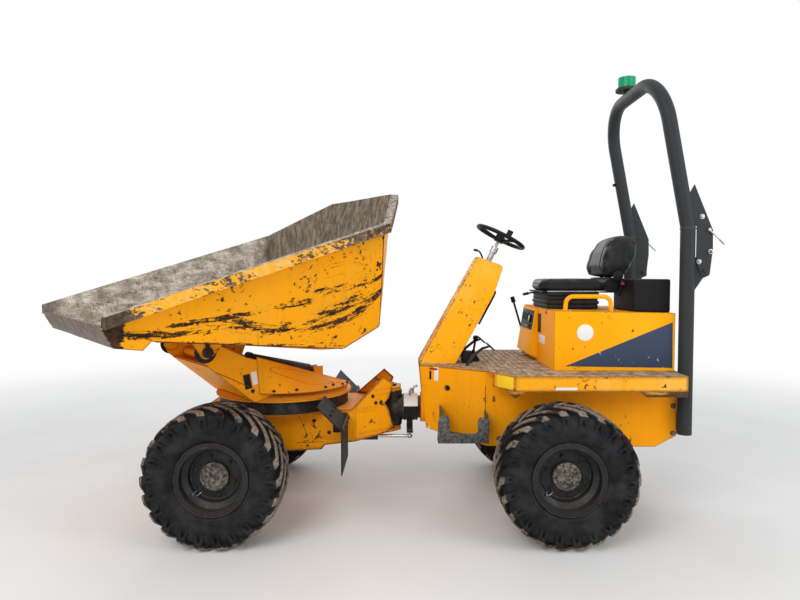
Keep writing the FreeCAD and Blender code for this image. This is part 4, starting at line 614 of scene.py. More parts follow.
@dataclass(frozen=True)
class DirtyMetal:
    """Bare, cast or greasy metal with grime.

    Args:
        name: the material's name.
        pale: the lighter of its two tones.
        dark: the darker one.
        metal: how metallic it is.
        rough: its roughness.
        soil: how much soil lies on it.
        rust: how much of it has rusted.
        scale: how coarse its pattern is.
        dents: height of its surface texture in metres.
    """

    name: str
    pale: Colour
    dark: Colour
    metal: float = 0.6
    rough: float = 0.5
    soil: float = 0.3
    rust: float = 0.0
    scale: float = 14.0
    dents: float = 0.0008

    def build(self) -> bpy.types.Material:
        """Make the material."""
        material, graph, shader = new_material(self.name)
        place = graph.place()
        cloud = graph.noise(place, self.scale, 7.0, 0.68)
        shade = graph.ramp(cloud, 0.36, 0.64)
        colour = graph.mix(shade, self.dark, self.pale)
        rusted = graph.ramp(graph.noise(place, self.scale * 0.7, 8.0, 0.7, 0.3), 0.66 - 0.25 * self.rust,
                            0.72 - 0.25 * self.rust)
        rusted = graph.math("MULTIPLY", rusted, min(1.0, 3.0 * self.rust))
        colour = graph.mix(rusted, colour, (0.190, 0.072, 0.032))
        soil = use(graph, "dust", place, Amount=self.soil)
        colour = graph.mix(soil, colour, SOIL)
        graph.put(shader.inputs["Base Color"], colour)
        covered = graph.math("MAXIMUM", soil, rusted)
        graph.put(shader.inputs["Metallic"], graph.blend(covered, self.metal, 0.0))
        graph.put(shader.inputs["Roughness"], graph.blend(covered, graph.blend(shade, self.rough + 0.18, self.rough), 0.92))
        raise_surface(graph, shader, graph.math("ADD", cloud, use(graph, "grain", place, Scale=80.0)), self.dents, 0.7)
        return material


@dataclass(frozen=True)
class Plastic:
    """Moulded plastic, vinyl or painted steel with a fine texture.

    Args:
        name: the material's name.
        tint: its colour.
        worn: its colour where it has been rubbed.
        wear: how much has been rubbed.
        rough: its roughness.
        soil: dust on it.
        grain: scale of its texture.
        relief: height of its texture in metres.
        edge: worn edges.
        nicks: small chips and scratches.
    """

    name: str
    tint: Colour
    worn: Colour
    wear: float = 0.2
    rough: float = 0.5
    soil: float = 0.2
    grain: float = 140.0
    relief: float = 0.0006
    edge: float = 0.0
    nicks: float = 0.0

    def build(self) -> bpy.types.Material:
        """Make the material."""
        material, graph, shader = new_material(self.name, 0.16)
        place = graph.place()
        rubbed = graph.ramp(graph.noise(place, 7.0, 6.0, 0.65), 0.72 - 0.3 * self.wear, 0.84 - 0.2 * self.wear)
        if self.edge:
            rubbed = graph.math("MAXIMUM", rubbed, use(graph, "edge_wear", place, Reach=0.008, Amount=self.edge))
        if self.nicks:
            rubbed = graph.most(rubbed, use(graph, "chips", place, Scale=42.0, Amount=self.nicks))
        colour = graph.mix(rubbed, self.tint, self.worn)
        soil = use(graph, "dust", place, Amount=self.soil)
        colour = graph.mix(soil, colour, SOIL)
        graph.put(shader.inputs["Base Color"], colour)
        rough = graph.blend(rubbed, self.rough, min(1.0, self.rough + 0.25))
        graph.put(shader.inputs["Roughness"], graph.blend(soil, rough, 0.95))
        raise_surface(graph, shader, use(graph, "grain", place, Scale=self.grain), self.relief, 0.7)
        return material


class Finish(Enum):
    """Every finish on the machine."""

    PAINT = WornPaint("paint_chassis", (0.950, 0.352, 0.001), (0.930, 0.400, 0.010), edge=0.55, reach=0.012, chip=0.50,
                      chip_scale=30.0, soil=0.20, runs=0.10, rough=0.5)
    PAINT_CLEAN = WornPaint("paint_cover", (0.950, 0.385, 0.001), (0.940, 0.430, 0.008), edge=0.40, reach=0.008,
                            chip=0.46, chip_scale=30.0, soil=0.12, runs=0.06, rough=0.5)
    PAINT_CONSOLE = WornPaint("paint_console", (0.950, 0.400, 0.003), (0.900, 0.480, 0.060), edge=0.50, reach=0.012,
                              chip=0.62, chip_scale=46.0, soil=0.22, runs=0.12, rough=0.5, blasted=0.36)
    PAINT_FRONT = WornPaint("paint_front", (0.940, 0.340, 0.001), (0.900, 0.380, 0.012), edge=0.80, reach=0.034,
                            chip=0.56, chip_scale=28.0, soil=0.20, runs=0.12, rough=0.5, base=(0.040, 0.022, 0.015))
    PAINT_DECK = WornPaint("paint_deck", (0.950, 0.385, 0.005), (0.880, 0.470, 0.080), edge=0.85, reach=0.028,
                           chip=0.64, chip_scale=34.0, soil=0.40, runs=0.14, rough=0.55, walked=0.9)
    PAINT_SKIP = SkipPaint("paint_skip", (0.930, 0.370, 0.003))
    SKIP_LINING = WornLining("skip_lining")
    SKIP_RIM = RimBand("skip_rim", (0.90, 0.40, 0.012))
    CHARCOAL = Plastic("hoop_charcoal", (0.030, 0.034, 0.037), (0.080, 0.082, 0.082), wear=0.10, rough=0.52, soil=0.08,
                       grain=220.0, relief=0.0004, edge=0.30, nicks=0.10)
    RIM = DirtyMetal("rim_paint", (0.016, 0.016, 0.017), (0.007, 0.007, 0.007), metal=0.0, rough=0.36, soil=0.12,
                     rust=0.08, scale=9.0)
    HUB = DirtyMetal("hub_steel", (0.200, 0.175, 0.148), (0.030, 0.026, 0.022), metal=0.40, rough=0.5, soil=0.15,
                     rust=0.08, scale=60.0)
    NUTS = DirtyMetal("wheel_nuts", (0.034, 0.032, 0.031), (0.012, 0.011, 0.011), metal=0.2, rough=0.5, soil=0.2,
                      rust=0.12, scale=30.0)
    RUSTY = DirtyMetal("rusty_lip", (0.060, 0.034, 0.027), (0.018, 0.014, 0.013), metal=0.1, rough=0.55, soil=0.10,
                       rust=0.14, scale=34.0)
    TYRE = Rubber("tyre_rubber", soil=1.0, film=0.12)
    FLAP = Rubber("rubber_flap", film=0.10)
    GREASY = DirtyMetal("greasy_metal", (0.042, 0.036, 0.031), (0.010, 0.009, 0.008), metal=0.30, rough=0.45, soil=0.35,
                        rust=0.14)
    BARE = DirtyMetal("plain_metal", (0.210, 0.200, 0.185), (0.070, 0.062, 0.054), metal=0.45, rough=0.5, soil=0.45,
                      rust=0.22, scale=22.0, dents=0.0015)
    CHROME = DirtyMetal("ram_chrome", (0.620, 0.620, 0.620), (0.450, 0.440, 0.430), metal=1.0, rough=0.18, soil=0.15)
    ZINC = DirtyMetal("zinc_plate", (0.560, 0.560, 0.550), (0.300, 0.290, 0.270), metal=0.85, rough=0.34, soil=0.12,
                      rust=0.06, scale=40.0, dents=0.0003)
    BLACK = Plastic("moulded_black", (0.007, 0.007, 0.008), (0.024, 0.024, 0.024), wear=0.15, rough=0.50, soil=0.06)
    VINYL = Plastic("cover_vinyl", (0.014, 0.015, 0.016), (0.048, 0.048, 0.048), wear=0.25, rough=0.44, soil=0.04,
                    grain=260.0, relief=0.0007)
    PIPING = Plastic("seat_piping", (0.012, 0.012, 0.013), (0.050, 0.048, 0.045), wear=0.2, rough=0.5, soil=0.10,
                     relief=0.0003)
    BLUE = Plastic("side_flash_blue", (0.040, 0.056, 0.100), (0.480, 0.500, 0.500), nicks=0.42, wear=0.05, rough=0.48, soil=0.15,
                   relief=0.0002)
    WHITE = Plastic("blank_white", (0.800, 0.800, 0.770), (0.560, 0.540, 0.500), wear=0.15, rough=0.5, soil=0.25,
                    relief=0.0002)
    RED = Plastic("red_plastic", (0.420, 0.030, 0.025), (0.480, 0.120, 0.100), wear=0.15, rough=0.4, soil=0.15)
    LABEL = Plastic("blank_yellow", (0.950, 0.620, 0.030), (0.900, 0.600, 0.200), wear=0.25, rough=0.4, soil=0.12,
                    relief=0.0002)
    GRIME = DirtyMetal("grease_grime", (0.030, 0.024, 0.020), (0.008, 0.007, 0.006), metal=0.1, rough=0.55, soil=0.20,
                       rust=0.10, scale=30.0, dents=0.003)
    GALVANISED = DirtyMetal("galvanised", (0.130, 0.128, 0.118), (0.036, 0.033, 0.028), metal=0.30, rough=0.5, soil=0.25,
                            rust=0.12, scale=46.0, dents=0.001)
    TREAD = DirtyMetal("worn_tread", (0.460, 0.360, 0.240), (0.200, 0.130, 0.075), metal=0.35, rough=0.45, soil=0.25,
                       rust=0.15, scale=20.0)
    BEACON = Plastic("beacon_glass", (0.006, 0.300, 0.130), (0.060, 0.420, 0.250), wear=0.2, rough=0.16, soil=0.15,
                     relief=0.0001)

    def material(self) -> bpy.types.Material:
        """The built material, made on first use."""
        return bpy.data.materials.get(self.value.name) or self.value.build()


# ------------------------------------------------------------- shared making


class Form:
    """A bmesh in the making, with the shapes that the pieces are built from."""

    def __init__(self) -> None:
        """Start empty."""
        self.mesh = bmesh.new()

    def move(self, verts: Sequence[bmesh.types.BMVert], matrix: Matrix) -> None:
        """Transform some vertices."""
        bmesh.ops.transform(self.mesh, matrix=matrix, verts=list(verts))

    def box(self, low: Point, high: Point, round_by: float = 0.0, matrix: Optional[Matrix] = None,
            segments: int = 2) -> list[bmesh.types.BMVert]:
        """Add a box by two corners, with rounded edges.

        Args:
            low: lowest corner.
            high: highest corner.
            round_by: width of the rounding.
            matrix: transform laid on it afterwards.
            segments: steps of the rounding.

        Returns:
            The box's vertices.
        """
        size = Vector(high) - Vector(low)
        middle = (Vector(high) + Vector(low)) / 2
        made = bmesh.ops.create_cube(self.mesh, size=1.0)["verts"]
        self.move(made, Matrix.Translation(middle) @ Matrix.Diagonal((*size, 1.0)))
        if round_by:
            edges = list({edge for vert in made for edge in vert.link_edges})
            result = bmesh.ops.bevel(self.mesh, geom=edges, offset=round_by, segments=segments, affect="EDGES",
                                     profile=0.5, material=-1)
            made = list({vert for face in result["faces"] for vert in face.verts})
        if matrix:
            self.move(made, matrix)
        return made

    def rod(self, start: Point, end: Point, radius: float, end_radius: Optional[float] = None, sides: int = 24,
            round_by: float = 0.0, matrix: Optional[Matrix] = None) -> list[bmesh.types.BMVert]:
        """Add a round bar or cone between two points, with rounded end edges."""
        start, end = Vector(start), Vector(end)
        way = end - start
        made = bmesh.ops.create_cone(self.mesh, cap_ends=True, segments=sides, radius1=radius,
                                     radius2=radius if end_radius is None else end_radius, depth=way.length)["verts"]
        turn = way.to_track_quat("Z", "Y").to_matrix().to_4x4()
        self.move(made, Matrix.Translation((start + end) / 2) @ turn)
        if round_by:
            caps = {edge for vert in made for edge in vert.link_edges
                    if any(len(face.verts) > 4 for face in edge.link_faces)}
            result = bmesh.ops.bevel(self.mesh, geom=list(caps), offset=round_by, segments=2, affect="EDGES",
                                     profile=0.5, material=-1)
            made = list(set(v for v in made if v.is_valid) | {vert for face in result["faces"] for vert in face.verts})
        if matrix:
            self.move(made, matrix)
        return made

    def bolt(self, place: Point, way: Point, width: float, tall: float, washer: float = 0.0,
             matrix: Optional[Matrix] = None) -> None:
        """Add a hexagon head on its washer, standing on a surface."""
        base, way = Vector(place), Vector(way).normalized()
        if washer:
            self.rod(base, base + way * tall * 0.25, washer, sides=16, matrix=matrix)
            base = base + way * tall * 0.25
        self.rod(base, base + way * tall, width / 2, sides=6, round_by=width * 0.06, matrix=matrix)

    def plate(self, outline: Sequence[Point], thickness: Point, round_by: float = 0.0,
              matrix: Optional[Matrix] = None) -> list[bmesh.types.BMVert]:
        """Add a flat plate: an outline of points pushed along a vector, with rounded edges."""
        verts = [self.mesh.verts.new(point) for point in outline]
        face = self.mesh.faces.new(verts)
        pushed = bmesh.ops.extrude_face_region(self.mesh, geom=[face])["geom"]
        moved = [item for item in pushed if isinstance(item, bmesh.types.BMVert)]
        bmesh.ops.translate(self.mesh, vec=Vector(thickness), verts=moved)
        made = verts + moved
        faces = list({face for vert in made for face in vert.link_faces})
        bmesh.ops.recalc_face_normals(self.mesh, faces=faces)
        if round_by:
            edges = list({edge for vert in made for edge in vert.link_edges})
            result = bmesh.ops.bevel(self.mesh, geom=edges, offset=round_by, segments=2, affect="EDGES",
                                     profile=0.5, material=-1)
            made = list({vert for face in result["faces"] for vert in face.verts})
        if matrix:
            self.move(made, matrix)
        return made

    def turned(self, outline: Sequence[tuple[float, float]], centre: Point, axis: Point, steps: int = 48,
               matrix: Optional[Matrix] = None) -> list[bmesh.types.BMVert]:
        """Spin an outline of (along the axis, radius) about an axis through a centre."""
        axis = Vector(axis).normalized()
        across = axis.orthogonal().normalized()
        verts = [self.mesh.verts.new(Vector(centre) + axis * along + across * radius) for along, radius in outline]
        edges = [self.mesh.edges.new(pair) for pair in zip(verts, verts[1:])]
        before = set(self.mesh.verts) - set(verts)
        bmesh.ops.spin(self.mesh, geom=verts + edges, cent=Vector(centre), axis=axis, angle=2 * math.pi, steps=steps,
                       use_merge=True)
        made = [vert for vert in self.mesh.verts if vert not in before]
        bmesh.ops.remove_doubles(self.mesh, verts=made, dist=1e-5)
        made = [vert for vert in self.mesh.verts if vert not in before]
        faces = list({face for vert in made for face in vert.link_faces})
        bmesh.ops.recalc_face_normals(self.mesh, faces=faces)
        if matrix:
            self.move(made, matrix)
        return made

    def ball(self, centre: Point, radius: float, squash: Point = (1.0, 1.0, 1.0)) -> list[bmesh.types.BMVert]:
        """Add a ball, flattened along the axes."""
        made = bmesh.ops.create_uvsphere(self.mesh, u_segments=24, v_segments=14, radius=radius)["verts"]
        self.move(made, Matrix.Translation(centre) @ Matrix.Diagonal((*squash, 1.0)))
        return made

    def pipe(self, points: Sequence[Point], radius: float, sides: int = 4) -> None:
        """Add a round bar along a smooth line through the points."""
        curve = bpy.data.curves.new("route", "CURVE")
        curve.dimensions = "3D"
        curve.bevel_depth = radius
        curve.bevel_resolution = sides
        curve.resolution_u = 8
        curve.use_fill_caps = True
        line = curve.splines.new("NURBS")
        line.points.add(len(points) - 1)
        for control, point in zip(line.points, points):
            control.co = (*point, 1.0)
        line.order_u = 3
        line.use_endpoint_u = True
        carrier = bpy.data.objects.new("route", curve)
        bpy.context.scene.collection.objects.link(carrier)
        bpy.context.view_layer.update()
        made = bpy.data.meshes.new_from_object(carrier.evaluated_get(bpy.context.evaluated_depsgraph_get()))
        self.mesh.from_mesh(made)
        bpy.data.objects.remove(carrier)
        bpy.data.meshes.remove(made)

    def weld(self, points: Sequence[Point], radius: float = 0.004, matrix: Optional[Matrix] = None,
             shift: Optional[Callable[[Vector], Vector]] = None) -> None:
        """Add a weld bead along a run of points, made of small humps; shift moves each one with a beaten plate."""
        for first, second in zip(points, points[1:]):
            first, second = Vector(first), Vector(second)
            count = max(2, int((second - first).length / (radius * 1.6)))
            for index in range(count):
                spot = first.lerp(second, (index + 0.5) / count)
                if shift:
                    spot += shift(spot)
                made = bmesh.ops.create_icosphere(self.mesh, subdivisions=1, radius=radius)["verts"]
                self.move(made, Matrix.Translation(spot) @ Matrix.Diagonal((1.0, 1.0, 0.8, 1.0)))
                if matrix:
                    self.move(made, matrix)

    def piece(self, name: str, body: str, finish: Finish, smooth: float = 40.0) -> bpy.types.Object:
        """Finish the bmesh as a piece of the scene.

        Args:
            name: the piece's name.
            body: the CAD body it rides on.
            finish: what it is made of.
            smooth: edges under this angle in degrees are shaded smooth.

        Returns:
            The new object.
        """
        data = bpy.data.meshes.new(name)
        self.mesh.to_mesh(data)
        self.mesh.free()
        data.materials.append(finish.material())
        made = bpy.data.objects.new(name, data)
        bpy.context.scene.collection.objects.link(made)
        data.shade_smooth()
        data.set_sharp_from_angle(angle=math.radians(smooth))
        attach(made, body)
        log.info("piece %s on %s, %d faces", name, body, len(data.polygons))
        return made


class Frame:
    """The CAD nodes: finishes on their slots, softened edges."""

    FINISHES: dict[str, Finish] = {
        "rim_": Finish.RIM, "tyre_": Finish.TYRE, "mud_flap": Finish.FLAP, "mudguard": Finish.FLAP,
        "front_axle": Finish.GREASY, "rear_axle": Finish.GREASY, "rear_deck": Finish.PAINT_DECK,
        "step_": Finish.GALVANISED, "pedal_": Finish.GREASY, "centre_pivot": Finish.GREASY, "slew_ring": Finish.GREASY,
        "tip_ram_barrel": Finish.GREASY, "steering_ram_barrel": Finish.GREASY, "tip_ram_rod": Finish.CHROME,
        "steering_ram_rod": Finish.CHROME, "engine_block": Finish.GREASY, "engine_cover": Finish.PAINT_CLEAN,
        "seat_suspension": Finish.BLACK, "seat_": Finish.VINYL, "tool_box": Finish.BLACK,
        "front_chassis": Finish.PAINT_FRONT,
        "steering_console": Finish.PAINT_CONSOLE, "steering_column": Finish.ZINC, "steering_wheel": Finish.BLACK,
        "control_lever": Finish.BLACK, "rops_": Finish.CHARCOAL, "beacon_lens": Finish.BEACON,
        "skip": Finish.PAINT_SKIP,
    }
    SOFT_EDGES: dict[str, float] = {
        "rear_chassis": 0.003, "front_chassis": 0.003, "rear_deck": 0.003, "swivel_frame": 0.003,
        "engine_cover": 0.006, "steering_console": 0.010, "tool_box": 0.012, "seat_suspension": 0.006,
        "front_axle": 0.004, "rear_axle": 0.004, "mudguard_left": 0.001, "mudguard_right": 0.001,
        "mud_flap_left": 0.002, "mud_flap_right": 0.002, "centre_pivot": 0.003, "slew_ring_lower": 0.002,
        "slew_ring_upper": 0.002, "rops_posts": 0.002, "rops_hoop": 0.002, "control_lever": 0.003,
    }

    def dress(self) -> None:
        """Give each node its finish and round its sharp edges."""
        for name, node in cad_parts.items():
            finish = next((kind for start, kind in self.FINISHES.items() if name.startswith(start)), Finish.PAINT)
            node.data.materials.clear()
            node.data.materials.append(finish.material())
            if name in self.SOFT_EDGES:
                self.soften(node, self.SOFT_EDGES[name])
            log.info("node %s in %s", name, finish.name)

    def soften(self, node: bpy.types.Object, width: float) -> None:
        """Weld the node's triangles and round its edges with modifiers."""
        weld = node.modifiers.new("weld", "WELD")
        weld.merge_threshold = 0.0001
        flat = node.modifiers.new("flat", "DECIMATE")
        flat.decimate_type = "DISSOLVE"
        flat.angle_limit = math.radians(1.0)
        bevel = node.modifiers.new("edges", "BEVEL")
        bevel.width = width
        bevel.segments = 2
        bevel.limit_method = "ANGLE"
        bevel.angle_limit = math.radians(40.0)
        bevel.use_clamp_overlap = True
        normals = node.modifiers.new("normals", "WEIGHTED_NORMAL")
        normals.keep_sharp = True


# ------------------------------------------------------------------ the wheels


WHEELS: tuple[tuple[str, int, int], ...] = (("front_left", 1, 1), ("front_right", 1, -1),
                                            ("rear_left", -1, 1), ("rear_right", -1, -1))


def profile_point(profile: Sequence[tuple[float, float]], along: float) -> tuple[Vector, Vector]:
    """Walk along an outline.

    Args:
        profile: corners as (across, radius).
        along: how far to walk.

    Returns:
        The point reached and the outward normal there, both as (across, radius).
    """
    for first, second in zip(profile, profile[1:]):
        start, end = Vector(first), Vector(second)
        run = (end - start).length
        if along <= run or second == profile[-1]:
            way = (end - start) / run
            return start + way * along, Vector((-way.y, way.x)) * (1.0 if way.x * 1.0 - way.y >= 0 else -1.0)
        along -= run
    raise ValueError("empty outline")


@dataclass
class Tyres:
    """Four lugged tyres that take the places of the plain ones.

    Args:
        lugs: lugs on each half of the tread.
        slant: how far a lug runs back round the tyre from the middle to the shoulder.
        shoulder: distance along the profile to the shoulder.
    """

    lugs: int = 22
    slant: float = 0.188
    shoulder: float = 0.133

    # From the middle of the tread to the bead: across, radius
    PROFILE = ((0.000, 0.3975), (0.060, 0.3945), (0.105, 0.3880), (0.126, 0.3790), (0.136, 0.3640), (0.1410, 0.3450),
               (0.1436, 0.3220), (0.1445, 0.3000), (0.1432, 0.2800), (0.1402, 0.2640), (0.1416, 0.2625),
               (0.1416, 0.2605), (0.1396, 0.2590), (0.1360, 0.2460), (0.1372, 0.2448), (0.1366, 0.2428),
               (0.1342, 0.2420), (0.1262, 0.2285), (0.1168, 0.2210), (0.1166, 0.1957))
    # Outline of a lug laid flat: round the tyre from its middle line, along the profile
    LUG = ((-0.016, 0.004), (-0.019, 0.060), (-0.022, 0.112), (-0.025, 0.146), (-0.031, 0.196), (-0.018, 0.196),
           (-0.012, 0.166), (-0.004, 0.152), (0.002, 0.152), (0.009, 0.166), (0.015, 0.188), (0.026, 0.188),
           (0.024, 0.146), (0.022, 0.112), (0.019, 0.060), (0.016, 0.004))
    # How far a lug stands out, along the profile
    RISE = ((0.0, 0.0240), (0.09, 0.0270), (0.118, 0.0320), (0.132, 0.0330), (0.146, 0.0250), (0.160, 0.0170),
            (0.176, 0.0110), (0.200, 0.0040))

    def rise(self, along: float) -> float:
        """Height of a lug at a distance along the profile."""
        for (start, low), (end, high) in zip(self.RISE, self.RISE[1:]):
            if along <= end:
                return low + (high - low) * (along - start) / (end - start)
        return self.RISE[-1][1]

    def carcass(self, form: Form) -> None:
        """Turn the tyre's body in one closed shell."""
        outline = [(across, radius) for across, radius in self.PROFILE]
        outline = outline + [(-across, radius) for across, radius in reversed(outline[1:])]
        form.turned(outline + [outline[0]], (0.0, 0.0, 0.0), (0.0, 1.0, 0.0), steps=132)

    def lug(self, form: Form, side: int) -> list[bmesh.types.BMVert]:
        """Cut one lug flat, round its top edges and wrap it onto the tread.

        Args:
            form: the mesh it goes into.
            side: +1 for the left half of the tread, -1 for the right.

        Returns:
            The lug's vertices.
        """
        tall = 0.028
        shape = Form()
        shape.plate([(around, along, -0.004) for around, along in self.LUG], (0.0, 0.0, tall + 0.004))
        rim = [edge for edge in shape.mesh.edges if all(vert.co.z > tall * 0.9 for vert in edge.verts)]
        bmesh.ops.bevel(shape.mesh, geom=rim, offset=0.0028, segments=2, affect="EDGES", profile=0.5, material=-1)
        for along in (0.03, 0.06, 0.09, 0.112, 0.124, 0.135, 0.146, 0.158, 0.17, 0.182):
            geometry = shape.mesh.verts[:] + shape.mesh.edges[:] + shape.mesh.faces[:]
            bmesh.ops.bisect_plane(shape.mesh, geom=geometry, plane_co=(0, along, 0), plane_no=(0, 1, 0))
        soil = shape.mesh.verts.layers.float.new("soil")
        for vert in shape.mesh.verts:
            around, along, high = vert.co
            vert[soil] = 1.0 if high > tall * 0.8 and along < 0.137 else 0.0
            point, normal = profile_point(self.PROFILE, along)
            spot = point + normal * (self.rise(along) * high / tall if high > 0 else high)
            lean = self.slant * along / self.shoulder if along < self.shoulder else \
                self.slant + 0.15 * (along - self.shoulder)
            turn = math.radians(90.0) + (around + lean) / 0.405
            vert.co = (spot.y * math.cos(turn), side * spot.x, spot.y * math.sin(turn))
        bmesh.ops.recalc_face_normals(shape.mesh, faces=shape.mesh.faces[:])
        data = bpy.data.meshes.new("lug")
        shape.mesh.to_mesh(data)
        shape.mesh.free()
        before = set(form.mesh.verts)
        form.mesh.from_mesh(data)
        bpy.data.meshes.remove(data)
        return [vert for vert in form.mesh.verts if vert not in before]

    def build(self) -> None:
        """Make one tyre and set it on each wheel."""
        form = Form()
        form.mesh.verts.layers.float.new("soil")
        self.carcass(form)
        pitch = 2 * math.pi / self.lugs
        for side in (1, -1):
            first = self.lug(form, side)
            start = 0.0 if side > 0 else pitch / 2
            form.move(first, Matrix.Rotation(-start, 4, "Y"))
            faces = list({face for vert in first for face in vert.link_faces})
            edges = list({edge for vert in first for edge in vert.link_edges})
            for index in range(1, self.lugs):
                copy = bmesh.ops.duplicate(form.mesh, geom=first + edges + faces)["geom"]
                verts = [item for item in copy if isinstance(item, bmesh.types.BMVert)]
                form.move(verts, Matrix.Rotation(-index * pitch, 4, "Y"))
        pattern = bpy.data.meshes.new("tyre_pattern")
        form.mesh.to_mesh(pattern)
        form.mesh.free()
        for name, end, side in WHEELS:
            wheel = Form()
            wheel.mesh.from_mesh(pattern)
            wheel.move(wheel.mesh.verts[:], Matrix.Translation((end * WHEEL_X, side * WHEEL_Y, WHEEL_Z)))
            made = wheel.piece("lugged_tyre_" + name, "wheel_" + name, Finish.TYRE, smooth=32.0)
            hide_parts("tyre_" + name)


@dataclass
class Hubs:
    """What shows in the wheels' dishes: hub caps, nuts, flange rings and valves.

    Args:
        nuts: wheel nuts on the disc.
        nut_circle: radius of the circle they stand on.
        cap_bolts: bolts round the hub's cap.
    """

    nuts: int = 6
    nut_circle: float = 0.117
    cap_bolts: int = 10

    def cap(self, name: str, where: Matrix) -> None:
        """Cast hub cap with its bolts."""
        form = Form()
        form.turned([(0.0495, 0.0), (0.0495, 0.084), (0.0560, 0.084), (0.0580, 0.081), (0.0585, 0.063),
                     (0.0625, 0.0605), (0.0645, 0.050), (0.0655, 0.030), (0.0635, 0.026), (0.0635, 0.012),
                     (0.0675, 0.010), (0.0675, 0.0)], (0, 0, 0), (0, 1, 0), steps=64, matrix=where)
        for index in range(self.cap_bolts):
            turn = 2 * math.pi * index / self.cap_bolts
            form.bolt((0.0725 * math.cos(turn), 0.0580, 0.0725 * math.sin(turn)), (0, 1, 0), 0.0125, 0.006,
                      washer=0.0085, matrix=where)
        form.rod((0.034, 0.0640, 0.018), (0.034, 0.0720, 0.018), 0.0085, sides=6, round_by=0.0008, matrix=where)
        form.piece("hub_cap_" + name, "wheel_" + name, Finish.HUB)

    def nut_ring(self, name: str, where: Matrix) -> None:
        """Wheel nuts and studs on the disc, with the disc's raised ring round them."""
        form = Form()
        form.turned([(0.0270, 0.092), (0.0310, 0.094), (0.0315, 0.100), (0.0275, 0.103), (0.0265, 0.101),
                     (0.0265, 0.094), (0.0270, 0.092)], (0, 0, 0), (0, 1, 0), steps=72, matrix=where)
        form.turned([(0.0268, 0.137), (0.0330, 0.141), (0.0345, 0.146), (0.0330, 0.151), (0.0262, 0.154),
                     (0.0260, 0.140), (0.0268, 0.137)], (0, 0, 0), (0, 1, 0), steps=72, matrix=where)
        for index in range(self.nuts):
            turn = 2 * math.pi * (index + 0.3) / self.nuts
            x, z = self.nut_circle * math.cos(turn), self.nut_circle * math.sin(turn)
            form.rod((x, 0.0265, z), (x, 0.0300, z), 0.0155, sides=20, matrix=where)
            form.bolt((x, 0.0300, z), (0, 1, 0), 0.025, 0.015, matrix=where)
            form.rod((x, 0.0440, z), (x, 0.0530, z), 0.0065, 0.0058, sides=12, matrix=where)
        form.piece("wheel_nuts_" + name, "wheel_" + name, Finish.NUTS)

    def flange(self, name: str, where: Matrix) -> None:
        """Rusty rolled lips of the rim."""
        form = Form()
        for across, radius, size in ((0.1262, 0.2165, 0.0034), (0.1205, 0.1955, 0.0030), (0.0560, 0.1700, 0.0035),
                                     (0.1020, 0.1935, 0.0024), (0.0820, 0.1915, 0.0024)):
            ring = [(across + size * math.cos(turn), radius + size * math.sin(turn))
                    for turn in (2 * math.pi * step / 8 for step in range(9))]
            form.turned(ring, (0, 0, 0), (0, 1, 0), steps=96, matrix=where)
        form.piece("rim_lips_" + name, "wheel_" + name, Finish.RUSTY)

    def valve(self, name: str, where: Matrix) -> None:
        """Valve stem behind its wire guard."""
        form = Form()
        spin = where @ Matrix.Rotation(math.radians(40.0), 4, "Y")
        form.rod((0.150, 0.030, 0.0), (0.158, 0.064, 0.0), 0.0045, sides=12, matrix=spin)
        form.rod((0.158, 0.064, 0.0), (0.1605, 0.0745, 0.0), 0.0060, 0.0052, sides=12, round_by=0.0008, matrix=spin)
        before = set(form.mesh.verts)
        form.pipe(((0.122, 0.028, -0.020), (0.122, 0.040, -0.022), (0.135, 0.046, -0.024), (0.150, 0.046, -0.024),
                   (0.164, 0.046, -0.016), (0.166, 0.046, 0.008), (0.166, 0.040, 0.018), (0.166, 0.026, 0.020)), 0.0028)
        form.move([vert for vert in form.mesh.verts if vert not in before], spin)
        form.piece("valve_" + name, "wheel_" + name, Finish.ZINC)

    def build(self) -> None:
        """Dress each wheel; on the right the pieces are turned half round."""
        for name, end, side in WHEELS:
            where = Matrix.Translation((end * WHEEL_X, side * WHEEL_Y, WHEEL_Z))
            if side < 0:
                where = where @ Matrix.Rotation(math.pi, 4, "Z")
            self.cap(name, where)
            self.nut_ring(name, where)
            self.flange(name, where)
            self.valve(name, where)


# -------------------------------------------------------------------- the skip


